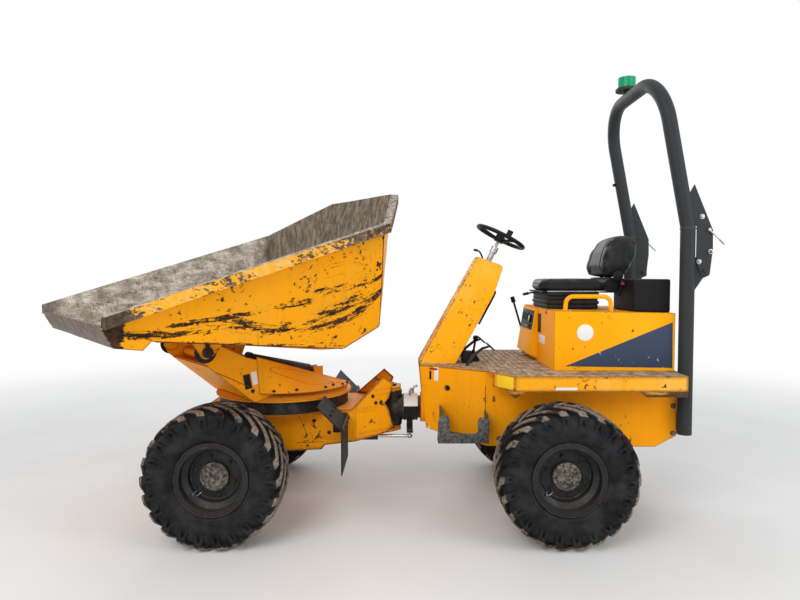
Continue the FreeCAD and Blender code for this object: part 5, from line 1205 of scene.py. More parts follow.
@dataclass
class Skip:
    """The tub, dented and finished apart inside, outside and on its rim bar.

    Args:
        centre: a point inside the tub, in the swivel's frame.
        bar: width of the rim bar.
        deep: depth of the rim bar.
        dent: how far the plates are beaten out of true.
    """

    centre: Point = (0.35, 0.0, 1.70)
    bar: float = 0.044
    deep: float = 0.060
    dent: float = 0.007

    # Rim corners on the left: ahead, across, height
    RIM = ((1.385, 0.775, 1.418), (-0.285, 0.800, 1.948), (-0.672, 0.392, 2.205))

    def rim_runs(self) -> list[tuple[Vector, Vector]]:
        """The rim's straight runs all round the open front."""
        left = [Vector(point) for point in self.RIM]
        right = [Vector((point.x, -point.y, point.z)) for point in reversed(left)]
        corners = left + right
        return list(zip(corners, corners[1:]))

    def part_of(self, face: bmesh.types.BMFace, home: Matrix) -> int:
        """Which finish a face takes: 0 outside, 1 lining, 2 rim bar."""
        spot = home @ face.calc_center_median()
        normal = (home.to_3x3() @ face.normal).normalized()
        for start, end in self.rim_runs():
            run = (end - start).to_2d()
            share = (spot - start).to_2d().dot(run) / run.length_squared
            if not -0.04 <= share <= 1.04:
                continue
            level = start.z + (end.z - start.z) * share
            outward = Vector((-run.y, run.x)).normalized()
            if outward.dot((start - Vector(self.centre)).to_2d()) < 0:
                outward = -outward
            beyond = (spot - start).to_2d().dot(outward)
            if -0.012 <= beyond <= self.bar + 0.02 and level - self.deep - 0.004 <= spot.z <= level + 0.008:
                facing = Vector((outward.x, outward.y, 0.0)).dot(normal)
                if facing > -0.4:
                    return 2
        if spot.x > 1.17 and abs(spot.y) < 0.745 and normal.x > 0.2:
            return 1
        return 1 if normal.dot(Vector(self.centre) - spot) > 0 else 0

    def beaten(self, spot: Vector) -> Vector:
        """Return how far the dents move a point of the skip, both given before the slew."""
        from_pin = Vector((spot.x - 0.704, spot.z - 1.151)).length
        below = max(0.0, min(1.0, (spot.z - 1.17) / 0.12)) * max(0.0, min(1.0, (from_pin - 0.30) / 0.20))
        wave = noise.noise_vector(spot * 2.3) * 0.75 + noise.noise_vector(spot * 6.1 + Vector((3, 1, 7))) * 0.30
        wave.z *= 0.35
        return wave * self.dent * below

    def tub(self) -> None:
        """Copy the solid's mesh, cut it finer, beat it and give its faces their finishes."""
        form = Form()
        form.mesh.from_mesh(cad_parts["skip"].data)
        mesh = form.mesh
        bmesh.ops.remove_doubles(mesh, verts=mesh.verts[:], dist=0.0002)
        home = ON_SWIVEL.inverted()
        for limit in (0.8, 0.4, 0.2, 0.1, 0.055):
            long_edges = [edge for edge in mesh.edges if edge.calc_length() > limit]
            bmesh.ops.subdivide_edges(mesh, edges=long_edges, cuts=1)
            bmesh.ops.triangulate(mesh, faces=mesh.faces[:])
        mesh.normal_update()
        kinds = {face: self.part_of(face, home) for face in mesh.faces}
        for face, kind in kinds.items():
            face.material_index = kind
        for vert in mesh.verts:
            vert.co = vert.co + ON_SWIVEL.to_3x3() @ self.beaten(home @ vert.co)
        made = form.piece("tub", "skip", Finish.PAINT_SKIP, smooth=24.0)
        made.data.materials.append(Finish.SKIP_LINING.material())
        made.data.materials.append(Finish.SKIP_RIM.material())
        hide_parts("skip")

    def lip_scar(self) -> None:
        """Weld beads along the joints of the plates, outside."""
        form = Form()
        for side in (1, -1):
            runs = (((-0.2835, 0.7955 * side, 1.882), (-0.3045, 0.7205 * side, 1.290)),
                    ((-0.6650, 0.3899 * side, 2.135), (-0.4315, 0.3523 * side, 1.296)),
                    ((-0.3020, 0.7198 * side, 1.2805), (-0.0350, 0.7004 * side, 1.1543)),
                    ((-0.0250, 0.7002 * side, 1.1526), (1.1300, 0.7397 * side, 1.2790)))
            for start, end in runs:
                form.weld((start, end), 0.0045, matrix=ON_SWIVEL, shift=self.beaten)
        form.piece("skip_welds", "skip", Finish.PAINT_SKIP)

    def pin_caps(self) -> None:
        """Caps, keeper plates and bolts on the tipping pins."""
        form = Form()
        for side in (1, -1):
            face = side * 0.3385
            form.rod((0.704, face, 1.151), (0.704, face + side * 0.010, 1.151), 0.034, sides=32, round_by=0.003,
                     matrix=ON_SWIVEL)
            form.box((0.690, min(face, face + side * 0.008), 1.168), (0.718, max(face, face + side * 0.008), 1.222),
                     0.002, matrix=ON_SWIVEL)
            form.bolt((0.704, face + side * 0.008, 1.208), (0, side, 0), 0.016, 0.009, matrix=ON_SWIVEL)
        form.piece("tipping_pin_caps", "skip", Finish.GREASY)

    def build(self) -> None:
        """Make the skip's pieces."""
        noise.seed_set(2)  # or else the dents' offsets are drawn from the clock
        self.tub()
        self.lip_scar()
        self.pin_caps()


# --------------------------------------------------------------------- the seat


@dataclass
class Seat:
    """Cushion and backrest swollen by a cloth simulation, with the bellows and fittings below.

    Args:
        voxel: size of the remesh before the simulation.
        pressure: air pressure in the pads.
        cap: how far the simulation may move a point.
        piping: radius of the sewn piping.
    """

    voxel: float = 0.006
    pressure: float = 4.0
    cap: float = 0.011
    piping: float = 0.0035

    def evaluated(self, carrier: bpy.types.Object) -> bpy.types.Mesh:
        """A mesh with the carrier's modifiers in it."""
        graph = bpy.context.evaluated_depsgraph_get()
        return bpy.data.meshes.new_from_object(carrier.evaluated_get(graph))

    def swell(self, node: str, shrink: Point) -> bmesh.types.BMesh:
        """Copy a CAD pad, make it a little smaller, remesh it and blow it up as cloth.

        Args:
            node: the pad's node.
            shrink: scale about its middle.

        Returns:
            The swollen pad, kept inside the node's box.
        """
        low, high = (Vector(corner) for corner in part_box(node))
        middle = (low + high) / 2
        form = Form()
        form.mesh.from_mesh(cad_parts[node].data)
        bmesh.ops.remove_doubles(form.mesh, verts=form.mesh.verts[:], dist=0.0002)
        form.move(form.mesh.verts[:], Matrix.Translation(middle) @ Matrix.Diagonal((*shrink, 1.0)) @
                  Matrix.Translation(-middle))
        data = bpy.data.meshes.new(node + "_pad")
        form.mesh.to_mesh(data)
        form.mesh.free()
        carrier = bpy.data.objects.new(node + "_pad", data)
        bpy.context.scene.collection.objects.link(carrier)
        remesh = carrier.modifiers.new("remesh", "REMESH")
        remesh.mode = "VOXEL"
        remesh.voxel_size = self.voxel
        carrier.data = self.evaluated(carrier)
        carrier.modifiers.clear()
        start = [vert.co.copy() for vert in carrier.data.vertices]
        cloth = carrier.modifiers.new("cloth", "CLOTH")
        cloth.settings.use_pressure = True
        cloth.settings.uniform_pressure_force = self.pressure
        cloth.settings.effector_weights.gravity = 0.0
        for step in range(1, 21):
            bpy.context.scene.frame_set(step)
        carrier.data = self.evaluated(carrier)
        carrier.modifiers.clear()
        bpy.context.scene.frame_set(1)
        pad = bmesh.new()
        pad.from_mesh(carrier.data)
        pad.verts.ensure_lookup_table()
        for vert, first in zip(pad.verts, start):
            way = vert.co - first
            if way.length > self.cap:
                vert.co = first + way.normalized() * self.cap
        for _ in range(4):
            bmesh.ops.smooth_vert(pad, verts=pad.verts[:], factor=0.5, use_axis_x=True, use_axis_y=True, use_axis_z=True)
        for vert in pad.verts:
            vert.co = Vector(min(max(value, a), b) for value, a, b in zip(vert.co, low, high))
        bpy.data.objects.remove(carrier)
        pad.normal_update()
        return pad

    def channel(self, pad: bmesh.types.BMesh, point: Point, normal: Point, deep: float,
                where: Callable[[Vector], bool]) -> None:
        """Pull a sewn channel into a pad along a plane."""
        way = Vector(normal).normalized()
        for vert in pad.verts:
            off = (vert.co - Vector(point)).dot(way)
            if abs(off) < 0.016 and where(vert.co):
                vert.co = vert.co - vert.normal * deep * math.exp(-(off / 0.0055) ** 2)

    def seam_line(self, pad: bmesh.types.BMesh, point: Point, normal: Point) -> list[Vector]:
        """The longest closed line where a plane crosses a pad, in order."""
        copy = pad.copy()
        cut = bmesh.ops.bisect_plane(copy, geom=copy.verts[:] + copy.edges[:] + copy.faces[:], plane_co=point,
                                     plane_no=normal)["geom_cut"]
        edges = [item for item in cut if isinstance(item, bmesh.types.BMEdge)]
        links: dict[bmesh.types.BMVert, list] = {}
        for edge in edges:
            for vert in edge.verts:
                links.setdefault(vert, []).append(edge.other_vert(vert))
        seen: set = set()
        best: list[Vector] = []
        for start in links:
            line, spot = [], start
            while spot is not None and spot not in seen:
                seen.add(spot)
                line.append(spot.co.copy())
                spot = next((other for other in links[spot] if other not in seen), None)
            best = line if len(line) > len(best) else best
        copy.free()
        return best

    def pad_piece(self, name: str, node: str, pad: bmesh.types.BMesh, line: list[Vector]) -> None:
        """Finish a pad and lay piping along its seam."""
        form = Form()
        form.mesh.free()
        form.mesh = pad
        made = form.piece(name, "cover", Finish.VINYL, smooth=60.0)
        subdivision = made.modifiers.new("smooth", "SUBSURF")
        subdivision.levels = subdivision.render_levels = 1
        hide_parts(node)
        rope = Form()
        points = line[::3]
        rope.pipe(points + points[:2], self.piping, sides=3)
        rope.piece(name + "_piping", "cover", Finish.PIPING)

    def cushion(self) -> None:
        """Seat cushion with a sewn middle panel."""
        pad = self.swell("seat_cushion", (0.965, 0.965, 0.76))
        for side in (1, -1):
            self.channel(pad, (0, side * 0.135, 0), (0, 1, 0), 0.006, lambda spot: spot.z > 1.57 and spot.x > -1.39)
        self.channel(pad, (-1.385, 0, 0), (1, 0, 0), 0.006, lambda spot: spot.z > 1.57 and abs(spot.y) < 0.14)
        for index in range(1, 5):
            self.channel(pad, (-1.385 + 0.066 * index, 0, 0), (1, 0, 0), 0.0035,
                         lambda spot: spot.z > 1.57 and abs(spot.y) < 0.128)
        self.pad_piece("cushion_pad", "seat_cushion", pad, self.seam_line(pad, (-1.2, 0.0, 1.562), (0.02, 0, 1)))

    def backrest(self) -> None:
        """Backrest with side bolsters."""
        pad = self.swell("seat_backrest", (0.88, 0.93, 0.94))

        def front(spot: Vector) -> bool:
            """Whether a point is on the face that the back leans on."""
            return spot.x > -1.49 - (spot.z - 1.60) * 0.55

        for side in (1, -1):
            self.channel(pad, (0, side * 0.112, 1.75), (0, 1, 0.18 * side), 0.007, front)
        for index in range(4):
            self.channel(pad, (0, 0, 1.655 + 0.055 * index), (0.35, 0, 1), 0.004,
                         lambda spot: front(spot) and abs(spot.y) < 0.10)
        self.pad_piece("backrest_pad", "seat_backrest", pad, self.seam_line(pad, (-1.575, 0.0, 1.75), (1, 0, 0.34)))

    def bellows(self) -> None:
        """Rubber bellows round the suspension, in folds."""
        form = Form()
        folds = 4
        for index in range(folds):
            low = 1.3885 + index * 0.0285
            swell = 0.010 if index % 2 else 0.005
            form.box((-1.400 - swell, -0.215 - swell, low), (-1.060 + swell, 0.215 + swell, low + 0.0265), 0.0118,
                     segments=4)
        form.piece("seat_bellows", "cover", Finish.FLAP)

    def fittings(self) -> None:
        """Recline knobs, slide rails, height lever and a belt buckle."""
        form = Form()
        for side in (1, -1):
            form.box((-1.46, side * 0.196 - 0.012, 1.5015), (-1.06, side * 0.196 + 0.012, 1.5085), 0.002)
        form.piece("seat_rails", "cover", Finish.ZINC)
        form = Form()
        form.turned([(0.210, 0.0), (0.210, 0.012), (0.226, 0.014), (0.227, 0.032), (0.240, 0.034), (0.243, 0.030),
                     (0.243, 0.0)], (-1.530, 0.0, 1.612), (0, 1, 0), steps=32)
        form.pipe(((-1.03, 0.06, 1.496), (-0.99, 0.06, 1.494), (-0.97, 0.055, 1.490), (-0.945, 0.05, 1.484)), 0.006)
        form.rod((-0.965, 0.053, 1.4885), (-0.925, 0.045, 1.480), 0.0105, 0.009, sides=16, round_by=0.003)
        lean = Matrix.Translation((-1.5535, 0.233, 1.535)) @ Matrix.Rotation(math.radians(-14.0), 4, "Y")
        form.box((-0.010, -0.003, -0.060), (0.010, 0.003, 0.012), 0.0012, matrix=lean)
        form.box((-0.017, -0.010, 0.008), (0.017, 0.010, 0.058), 0.005, matrix=lean)
        form.piece("seat_knob_and_belt_stalk", "cover", Finish.BLACK)
        form = Form()
        form.box((-0.011, 0.0095, 0.016), (0.011, 0.0120, 0.034), 0.0012, matrix=lean)
        form.box((-0.012, -0.006, 0.0565), (0.012, 0.006, 0.0600), 0.0012, matrix=lean)
        form.piece("belt_button", "cover", Finish.RED)

    def build(self) -> None:
        """Make the seat's pieces."""
        self.cushion()
        self.backrest()
        self.bellows()
        self.fittings()


# --------------------------------------------------------- engine cover and deck


@dataclass
class CoverDress:
    """Flashes, sticker, switch housing, vents and lock of the engine cover.

    Args:
        face: half width over the cover's sides.
        skin: thickness of a flash or sticker.
    """

    face: float = 0.4572
    skin: float = 0.0012

    def flashes(self) -> None:
        """Slate blue triangle on each side and a blank round sticker on the left."""
        form = Form()
        for side in (1, -1):
            form.plate([(x, side * self.face, z) for x, z in ((-1.116, 1.030), (-1.806, 1.020), (-1.804, 1.314))],
                       (0, side * self.skin, 0), 0.0003)
        form.piece("side_flash", "cover", Finish.BLUE)
        form = Form()
        form.rod((-1.244, self.face, 1.247), (-1.244, self.face + self.skin, 1.247), 0.053, sides=64, round_by=0.0004)
        form.box((-1.0465, 0.02, 1.140), (-1.0445, 0.20, 1.200), 0.0006)
        form.piece("blank_stickers", "cover", Finish.WHITE)

    def housing(self) -> None:
        """Sloping switch housing on the front, with its black panel and switches."""
        form = Form()
        form.plate([(-1.0465, -0.425, 1.376), (-1.0300, -0.425, 1.380), (-0.978, -0.425, 1.048), (-1.0465, -0.425, 1.020)],
                   (0, 0.425, 0), 0.004)
        form.piece("switch_housing", "cover", Finish.PAINT_CLEAN)
        form = Form()
        tilt = Matrix.Translation((-1.0165, -0.215, 1.290)) @ Vector((0.360, 0.0, 0.056)).to_track_quat(
            "X", "Z").to_matrix().to_4x4()
        form.box((0.000, -0.185, -0.070), (0.006, 0.185, 0.070), 0.002, matrix=tilt)
        for index in range(4):
            y = -0.130 + 0.050 * index
            form.box((0.006, y - 0.014, -0.010), (0.014, y + 0.014, 0.045), 0.003, matrix=tilt)
        form.rod((0.006, 0.120, 0.010), (0.018, 0.120, 0.010), 0.028, sides=32, round_by=0.003, matrix=tilt)
        form.rod((0.006, 0.120, -0.045), (0.014, 0.120, -0.045), 0.012, sides=20, round_by=0.002, matrix=tilt)
        form.box((-1.0465, 0.020, 1.215), (-1.0385, 0.085, 1.345), 0.003)
        form.piece("switch_panel", "cover", Finish.BLACK)
        form = Form()
        form.rod((0.018, 0.120, 0.010), (0.0195, 0.120, 0.010), 0.021, sides=32, matrix=tilt)
        form.rod((0.014, 0.120, -0.045), (0.026, 0.120, -0.045), 0.0045, sides=12, matrix=tilt)
        form.box((0.026, 0.113, -0.049), (0.040, 0.127, -0.041), 0.0015, matrix=tilt)
        form.piece("gauge_and_key", "cover", Finish.ZINC)

    def vents(self) -> None:
        """Pressed louvres on the rear and right faces, lock, and washers at the grab handles."""
        form = Form()
        for z in (1.10 + 0.032 * index for index in range(7)):
            form.plate([(-1.8195, -0.20, z), (-1.8290, -0.20, z), (-1.8195, -0.20, z + 0.020)], (0, 0.40, 0), 0.001)
            form.plate([(-1.30, -0.4570, z), (-1.30, -0.4665, z), (-1.30, -0.4570, z + 0.020)], (0.26, 0, 0), 0.001)
        form.piece("cover_louvres", "cover", Finish.PAINT_CLEAN)
        form = Form()
        form.turned([(0.000, 0.0), (0.000, 0.017), (0.004, 0.017), (0.006, 0.014), (0.006, 0.006), (0.004, 0.005),
                     (0.004, 0.0)], (-1.8195, 0.30, 1.21), (-1, 0, 0), steps=32)
        for side in (1, -1):
            for x, z in ((-1.160, 1.3842), (-1.462, 1.3788)):
                form.bolt((x, side * 0.407, z), (0, 0, 1), 0.014, 0.006, washer=0.010)
        form.piece("cover_fixings", "cover", Finish.ZINC)

    def build(self) -> None:
        """Make the cover's pieces."""
        self.flashes()
        self.housing()
        self.vents()


@dataclass
class DeckDress:
    """Tread studs, labels, welds, bolts and the boots of the controls on the rear frame.

    Args:
        pitch: spacing of the tread studs.
        stud: length, width and height of one stud.
    """

    pitch: float = 0.042
    stud: Point = (0.024, 0.006, 0.0028)

    def tread(self) -> None:
        """Raised lozenges over the foot area of the deck."""
        form = Form()
        rows = int(0.84 / self.pitch)
        for row in range(rows):
            for column in range(31):
                x, y = -0.215 - row * self.pitch, -0.63 + column * self.pitch
                edge = 0.155 + (-0.192 - x) * 0.665 if x > -0.63 else 0.63
                if abs(y) > edge - 0.035 or (x > -0.475 and abs(y) < 0.185) or x < -1.02:
                    continue
                if -1.13 < x < -1.03 and y < -0.43:
                    continue
                turn = Matrix.Translation((x, y, 0.9998)) @ Matrix.Rotation(
                    math.radians(45.0 if (row + column) % 2 else -45.0), 4, "Z")
                half = Vector(self.stud) / 2
                form.box((-half.x, -half.y, 0.0), (half.x, half.y, self.stud[2]), 0.0012, matrix=turn, segments=1)
        form.piece("deck_tread", "rear_frame", Finish.TREAD)

    def labels(self) -> None:
        """Blank labels on the nose and the fender."""
        along = Vector((-0.418, 0.278, 0.0)).normalized()
        out = Vector((0.278, 0.418, 0.0)).normalized()
        for side in (1, -1):
            flip = Matrix.Diagonal((1, side, 1, 1))
            for name, finish, start, end, low, high, lift in (
                ("label_ground", Finish.WHITE, 0.048, 0.150, 0.898, 0.990, 0.0006),
                ("label_dark", Finish.BLACK, 0.054, 0.096, 0.904, 0.962, 0.0016),
                ("label_band", Finish.RED, 0.054, 0.144, 0.970, 0.984, 0.0016),
            ):
                form = Form()
                corner = Vector((-0.192, 0.162, 0.0)) + out * lift
                points = [corner + along * run + Vector((0, 0, z)) for run, z in
                          ((start, low), (end, low), (end, high), (start, high))]
                form.plate([tuple(flip @ point) for point in points], tuple(flip.to_3x3() @ (out * 0.001)), 0.0003)
                suffix = "left" if side > 0 else "right"
                form.piece(f"nose_{name}_{suffix}", "rear_frame", finish)
            form = Form()
            first, second = Vector((-0.650, 0.510, 0)), Vector((-0.760, 0.670, 0))
            facing = Vector((0.160, 0.110, 0)).normalized()
            points = [first.lerp(second, share) + facing * 0.0005 + Vector((0, 0, z)) for share, z in
                      ((0.16, 0.915), (0.90, 0.915), (0.90, 0.990), (0.16, 0.990))]
            form.plate([tuple(flip @ point) for point in points], tuple(flip.to_3x3() @ (facing * 0.001)), 0.0003)
            form.piece("fender_label_" + suffix, "rear_frame", Finish.LABEL)
            form = Form()
            form.box((-1.134, min(side * 0.6701, side * 0.6712), 0.916), (-1.004, max(side * 0.6701, side * 0.6712), 0.932))
            form.piece("fender_strip_" + suffix, "rear_frame", Finish.WHITE)

    def drops(self) -> None:
        """Deeper ends of the fenders' folded edges."""
        form = Form()
        for side in (1, -1):
            for outline in (((-0.690, 0.907), (-0.757, 0.864), (-0.835, 0.907)),
                            ((-1.500, 0.907), (-1.560, 0.872), (-1.806, 0.872), (-1.806, 0.907))):
                form.plate([(x, side * 0.6640, z) for x, z in outline], (0, side * 0.0055, 0), 0.001)
        form.piece("fender_drops", "rear_frame", Finish.PAINT_DECK)

    def fixings(self) -> None:
        """Bolts, grommets and weld beads on the side plates."""
        form = Form()
        for side in (1, -1):
            for x, z in ((-1.828, 0.767), (-1.828, 0.590), (-1.70, 0.880), (-0.70, 0.555), (-0.90, 0.880)):
                form.bolt((x, side * 0.4302, z), (0, side, 0), 0.022, 0.011, washer=0.017)
            for x, z in ((-0.575, 0.712), (-0.337, 0.712)):
                form.bolt((x, side * 0.5600, z), (0, side, 0), 0.016, 0.008, washer=0.012)
        form.piece("chassis_bolts", "rear_frame", Finish.BARE)
        form = Form()
        for side in (1, -1):
            form.weld(((-0.6095, side * 0.4305, 0.515), (-0.6095, side * 0.4305, 0.900)), 0.0035)
            form.weld(((-1.8505, side * 0.4295, 0.576), (-1.8505, side * 0.4295, 0.980)), 0.0035)
            form.weld(((-0.655, side * 0.4315, 0.9035), (-1.80, side * 0.4315, 0.9035)), 0.0035)
        form.piece("chassis_welds", "rear_frame", Finish.PAINT)
        form = Form()
        for side in (1, -1):
            spot = Vector((-0.373, side * 0.2790, 0.857))
            out = Vector((0.541, side * 0.841, 0))
            form.turned([(-0.002, 0.0135), (0.003, 0.0150), (0.004, 0.0190), (0.001, 0.0215), (-0.002, 0.0215)],
                        spot, out, steps=28)
            form.turned([(-0.008, 0.0), (-0.008, 0.014), (-0.010, 0.014), (-0.010, 0.0)], spot, out, steps=24)
        form.piece("chassis_grommets", "rear_frame", Finish.BLACK)

    def rear(self) -> None:
        """Radiator grille and tow pin at the back."""
        form = Form()
        form.box((-1.8560, -0.250, 0.640), (-1.8495, 0.250, 0.900), 0.002)
        for index in range(10):
            z = 0.658 + 0.0245 * index
            form.box((-1.8640, -0.235, z), (-1.8555, 0.235, z + 0.010), 0.002, segments=1)
        for y in (-0.24, 0.0, 0.24):
            form.box((-1.8655, y - 0.006, 0.645), (-1.8555, y + 0.006, 0.895), 0.002, segments=1)
        form.piece("rear_grille", "rear_frame", Finish.CHARCOAL)
        form = Form()
        for z in (0.578, 0.618):
            form.plate([(-1.8495, -0.050, z), (-1.8495, 0.050, z), (-1.900, 0.030, z), (-1.912, 0.0, z),
                        (-1.900, -0.030, z)], (0, 0, 0.012), 0.002)
        form.rod((-1.884, 0.0, 0.566), (-1.884, 0.0, 0.650), 0.010, sides=20, round_by=0.002)
        form.rod((-1.884, 0.0, 0.6295), (-1.884, 0.0, 0.638), 0.017, sides=20, round_by=0.002)
        form.piece("tow_hitch", "rear_frame", Finish.PAINT)

    def steps(self) -> None:
        """Folded galvanised fronts of the boarding steps, with grip studs."""
        for side in (1, -1):
            form = Form()
            face = side * 0.5602
            outline = ((-0.614, 0.558), (-0.296, 0.558), (-0.290, 0.585), (-0.296, 0.700), (-0.318, 0.738),
                       (-0.352, 0.738), (-0.366, 0.716), (-0.366, 0.632), (-0.380, 0.622), (-0.530, 0.622),
                       (-0.544, 0.632), (-0.544, 0.700), (-0.556, 0.722), (-0.604, 0.722), (-0.618, 0.700))
            form.plate([(x, face, z) for x, z in outline], (0, side * 0.005, 0), 0.0015)
            low, high = sorted((side * 0.435, side * 0.560))
            form.box((-0.602, low, 0.5682), (-0.308, high, 0.5715), 0.001)
            for row in range(3):
                for column in range(15):
                    x = -0.596 + 0.0205 * column + (0.010 if row % 2 else 0.0)
                    form.rod((x, side * 0.565, 0.573 + 0.018 * row), (x, side * 0.5682, 0.573 + 0.018 * row), 0.0052,
                             0.0036, sides=10)
            for row in range(5):
                for column in range(14):
                    x, y = -0.590 + 0.0205 * column, side * (0.450 + 0.023 * row)
                    form.rod((x, y, 0.5712), (x, y, 0.5745), 0.0052, 0.0036, sides=10)
            suffix = "left" if side > 0 else "right"
            form.piece("step_grip_" + suffix, "rear_frame", Finish.GALVANISED)

    def controls(self) -> None:
        """Rubber boots, pedal pads, pipes and a stalk round the console."""
        form = Form()
        rings = [(0.0, 0.045)]
        for index in range(5):
            rings += [(0.010 + 0.013 * index, 0.043 - 0.006 * index), (0.0165 + 0.013 * index, 0.036 - 0.006 * index)]
        form.turned(rings + [(0.078, 0.009), (0.078, 0.0), (0.0, 0.0), (0.0, 0.045)], (-1.080, -0.490, 1.0005), (0.12, 0, 1),
                    steps=32)
        form.turned(rings + [(0.078, 0.009), (0.078, 0.0), (0.0, 0.0), (0.0, 0.045)], (-0.585, -0.02, 1.0005), (0, 0, 1),
                    steps=32)
        form.rod((-0.585, -0.02, 1.06), (-0.600, -0.02, 1.150), 0.008, sides=14)
        form.ball((-0.601, -0.02, 1.163), 0.020)
        form.box((-0.560, 0.050, 1.0005), (-0.490, 0.130, 1.085), 0.010)
        form.piece("control_boots", "rear_frame", Finish.FLAP)
        form = Form()
        form.pipe(((-0.612, 0.070, 1.270), (-0.628, 0.070, 1.300), (-0.680, 0.070, 1.400), (-0.722, 0.070, 1.480),
                   (-0.728, 0.070, 1.500), (-0.716, 0.070, 1.510)), 0.007)
        form.pipe(((-0.640, 0.040, 1.735), (-0.628, 0.055, 1.765), (-0.610, 0.075, 1.786), (-0.585, 0.110, 1.790)), 0.006)
        form.rod((-0.592, 0.100, 1.7895), (-0.570, 0.135, 1.7900), 0.009, 0.008, sides=16, round_by=0.002)
        form.piece("console_pipe_and_stalk", "rear_frame", Finish.BLACK)
        form = Form()
        for side in (1, -1):
            for x in (-0.23, -0.36):
                form.box((x - 0.02, side * 0.166 - 0.012, 1.0002), (x + 0.02, side * 0.166 + 0.012, 1.0050), 0.001)
                form.bolt((x, side * 0.172, 1.005), (0, 0, 1), 0.016, 0.008)
            for share in (0.16, 0.5, 0.84):
                x, z = -0.43 - 0.30 * share, 1.02 + 0.60 * share
                form.bolt((x + 0.04, side * (0.1548 - 0.0418 * share), z), (0, side, 0), 0.012, 0.005, washer=0.009)
        form.piece("console_bolts", "rear_frame", Finish.ZINC)

    def build(self) -> None:
        """Make the rear frame's pieces."""
        self.tread()
        self.labels()
        self.drops()
        self.fixings()
        self.rear()
        self.steps()
        self.controls()


# --------------------------------------------------- pivot, swivel, front, hoop


@dataclass
class PivotDress:
    """Collar whose white upper half is a painted reflection, rubber boot rings under it, hose fittings and a bolt on
    the vertical pin at the articulation.

    Args:
        centre: height of the pivot tube.
        tube: its radius; not used.
    """

    centre: float = 0.670
    tube: float = 0.080

    def build(self) -> None:
        """Make the pivot's pieces."""
        form = Form()
        outline = [(0.0, 0.0810), (0.004, 0.0975), (0.100, 0.0975), (0.104, 0.0810), (0.0, 0.0810)]
        form.turned(outline, (-0.184, 0.0, self.centre), (1, 0, 0), steps=48)
        # Only the collar's upper half is kept, in white: a painted reflection along the top of the tube
        bmesh.ops.bisect_plane(form.mesh, geom=form.mesh.verts[:] + form.mesh.edges[:] + form.mesh.faces[:],
                               plane_co=(0, 0, self.centre + 0.022), plane_no=(0, 0, 1), clear_inner=True)
        form.piece("pivot_collar_painted_reflection", "centre_pivot", Finish.WHITE)
        form = Form()
        for index in range(5):
            start = -0.184 + 0.021 * index
            form.turned([(0.0, 0.0805), (0.003, 0.096), (0.016, 0.096), (0.019, 0.0805), (0.0, 0.0805)],
                        (start, 0.0, self.centre), (1, 0, 0), steps=36)
        bmesh.ops.bisect_plane(form.mesh, geom=form.mesh.verts[:] + form.mesh.edges[:] + form.mesh.faces[:],
                               plane_co=(0, 0, self.centre + 0.022), plane_no=(0, 0, 1), clear_outer=True)
        form.piece("pivot_boot", "centre_pivot", Finish.FLAP)
        form = Form()
        for x, y in ((-0.126, 0.034), (-0.148, -0.034)):
            form.rod((x, y, 0.742), (x, y, 0.792), 0.010, sides=6, round_by=0.001)
            form.rod((x, y, 0.790), (x - 0.012, y, 0.812), 0.007, sides=16, round_by=0.001)
            form.rod((x - 0.012, y, 0.812), (x - 0.034, y, 0.814), 0.0085, sides=16, round_by=0.001)
        form.bolt((0.0, 0.0, 0.8370), (0, 0, 1), 0.030, 0.012, washer=0.022)
        form.piece("pivot_fittings", "centre_pivot", Finish.ZINC)


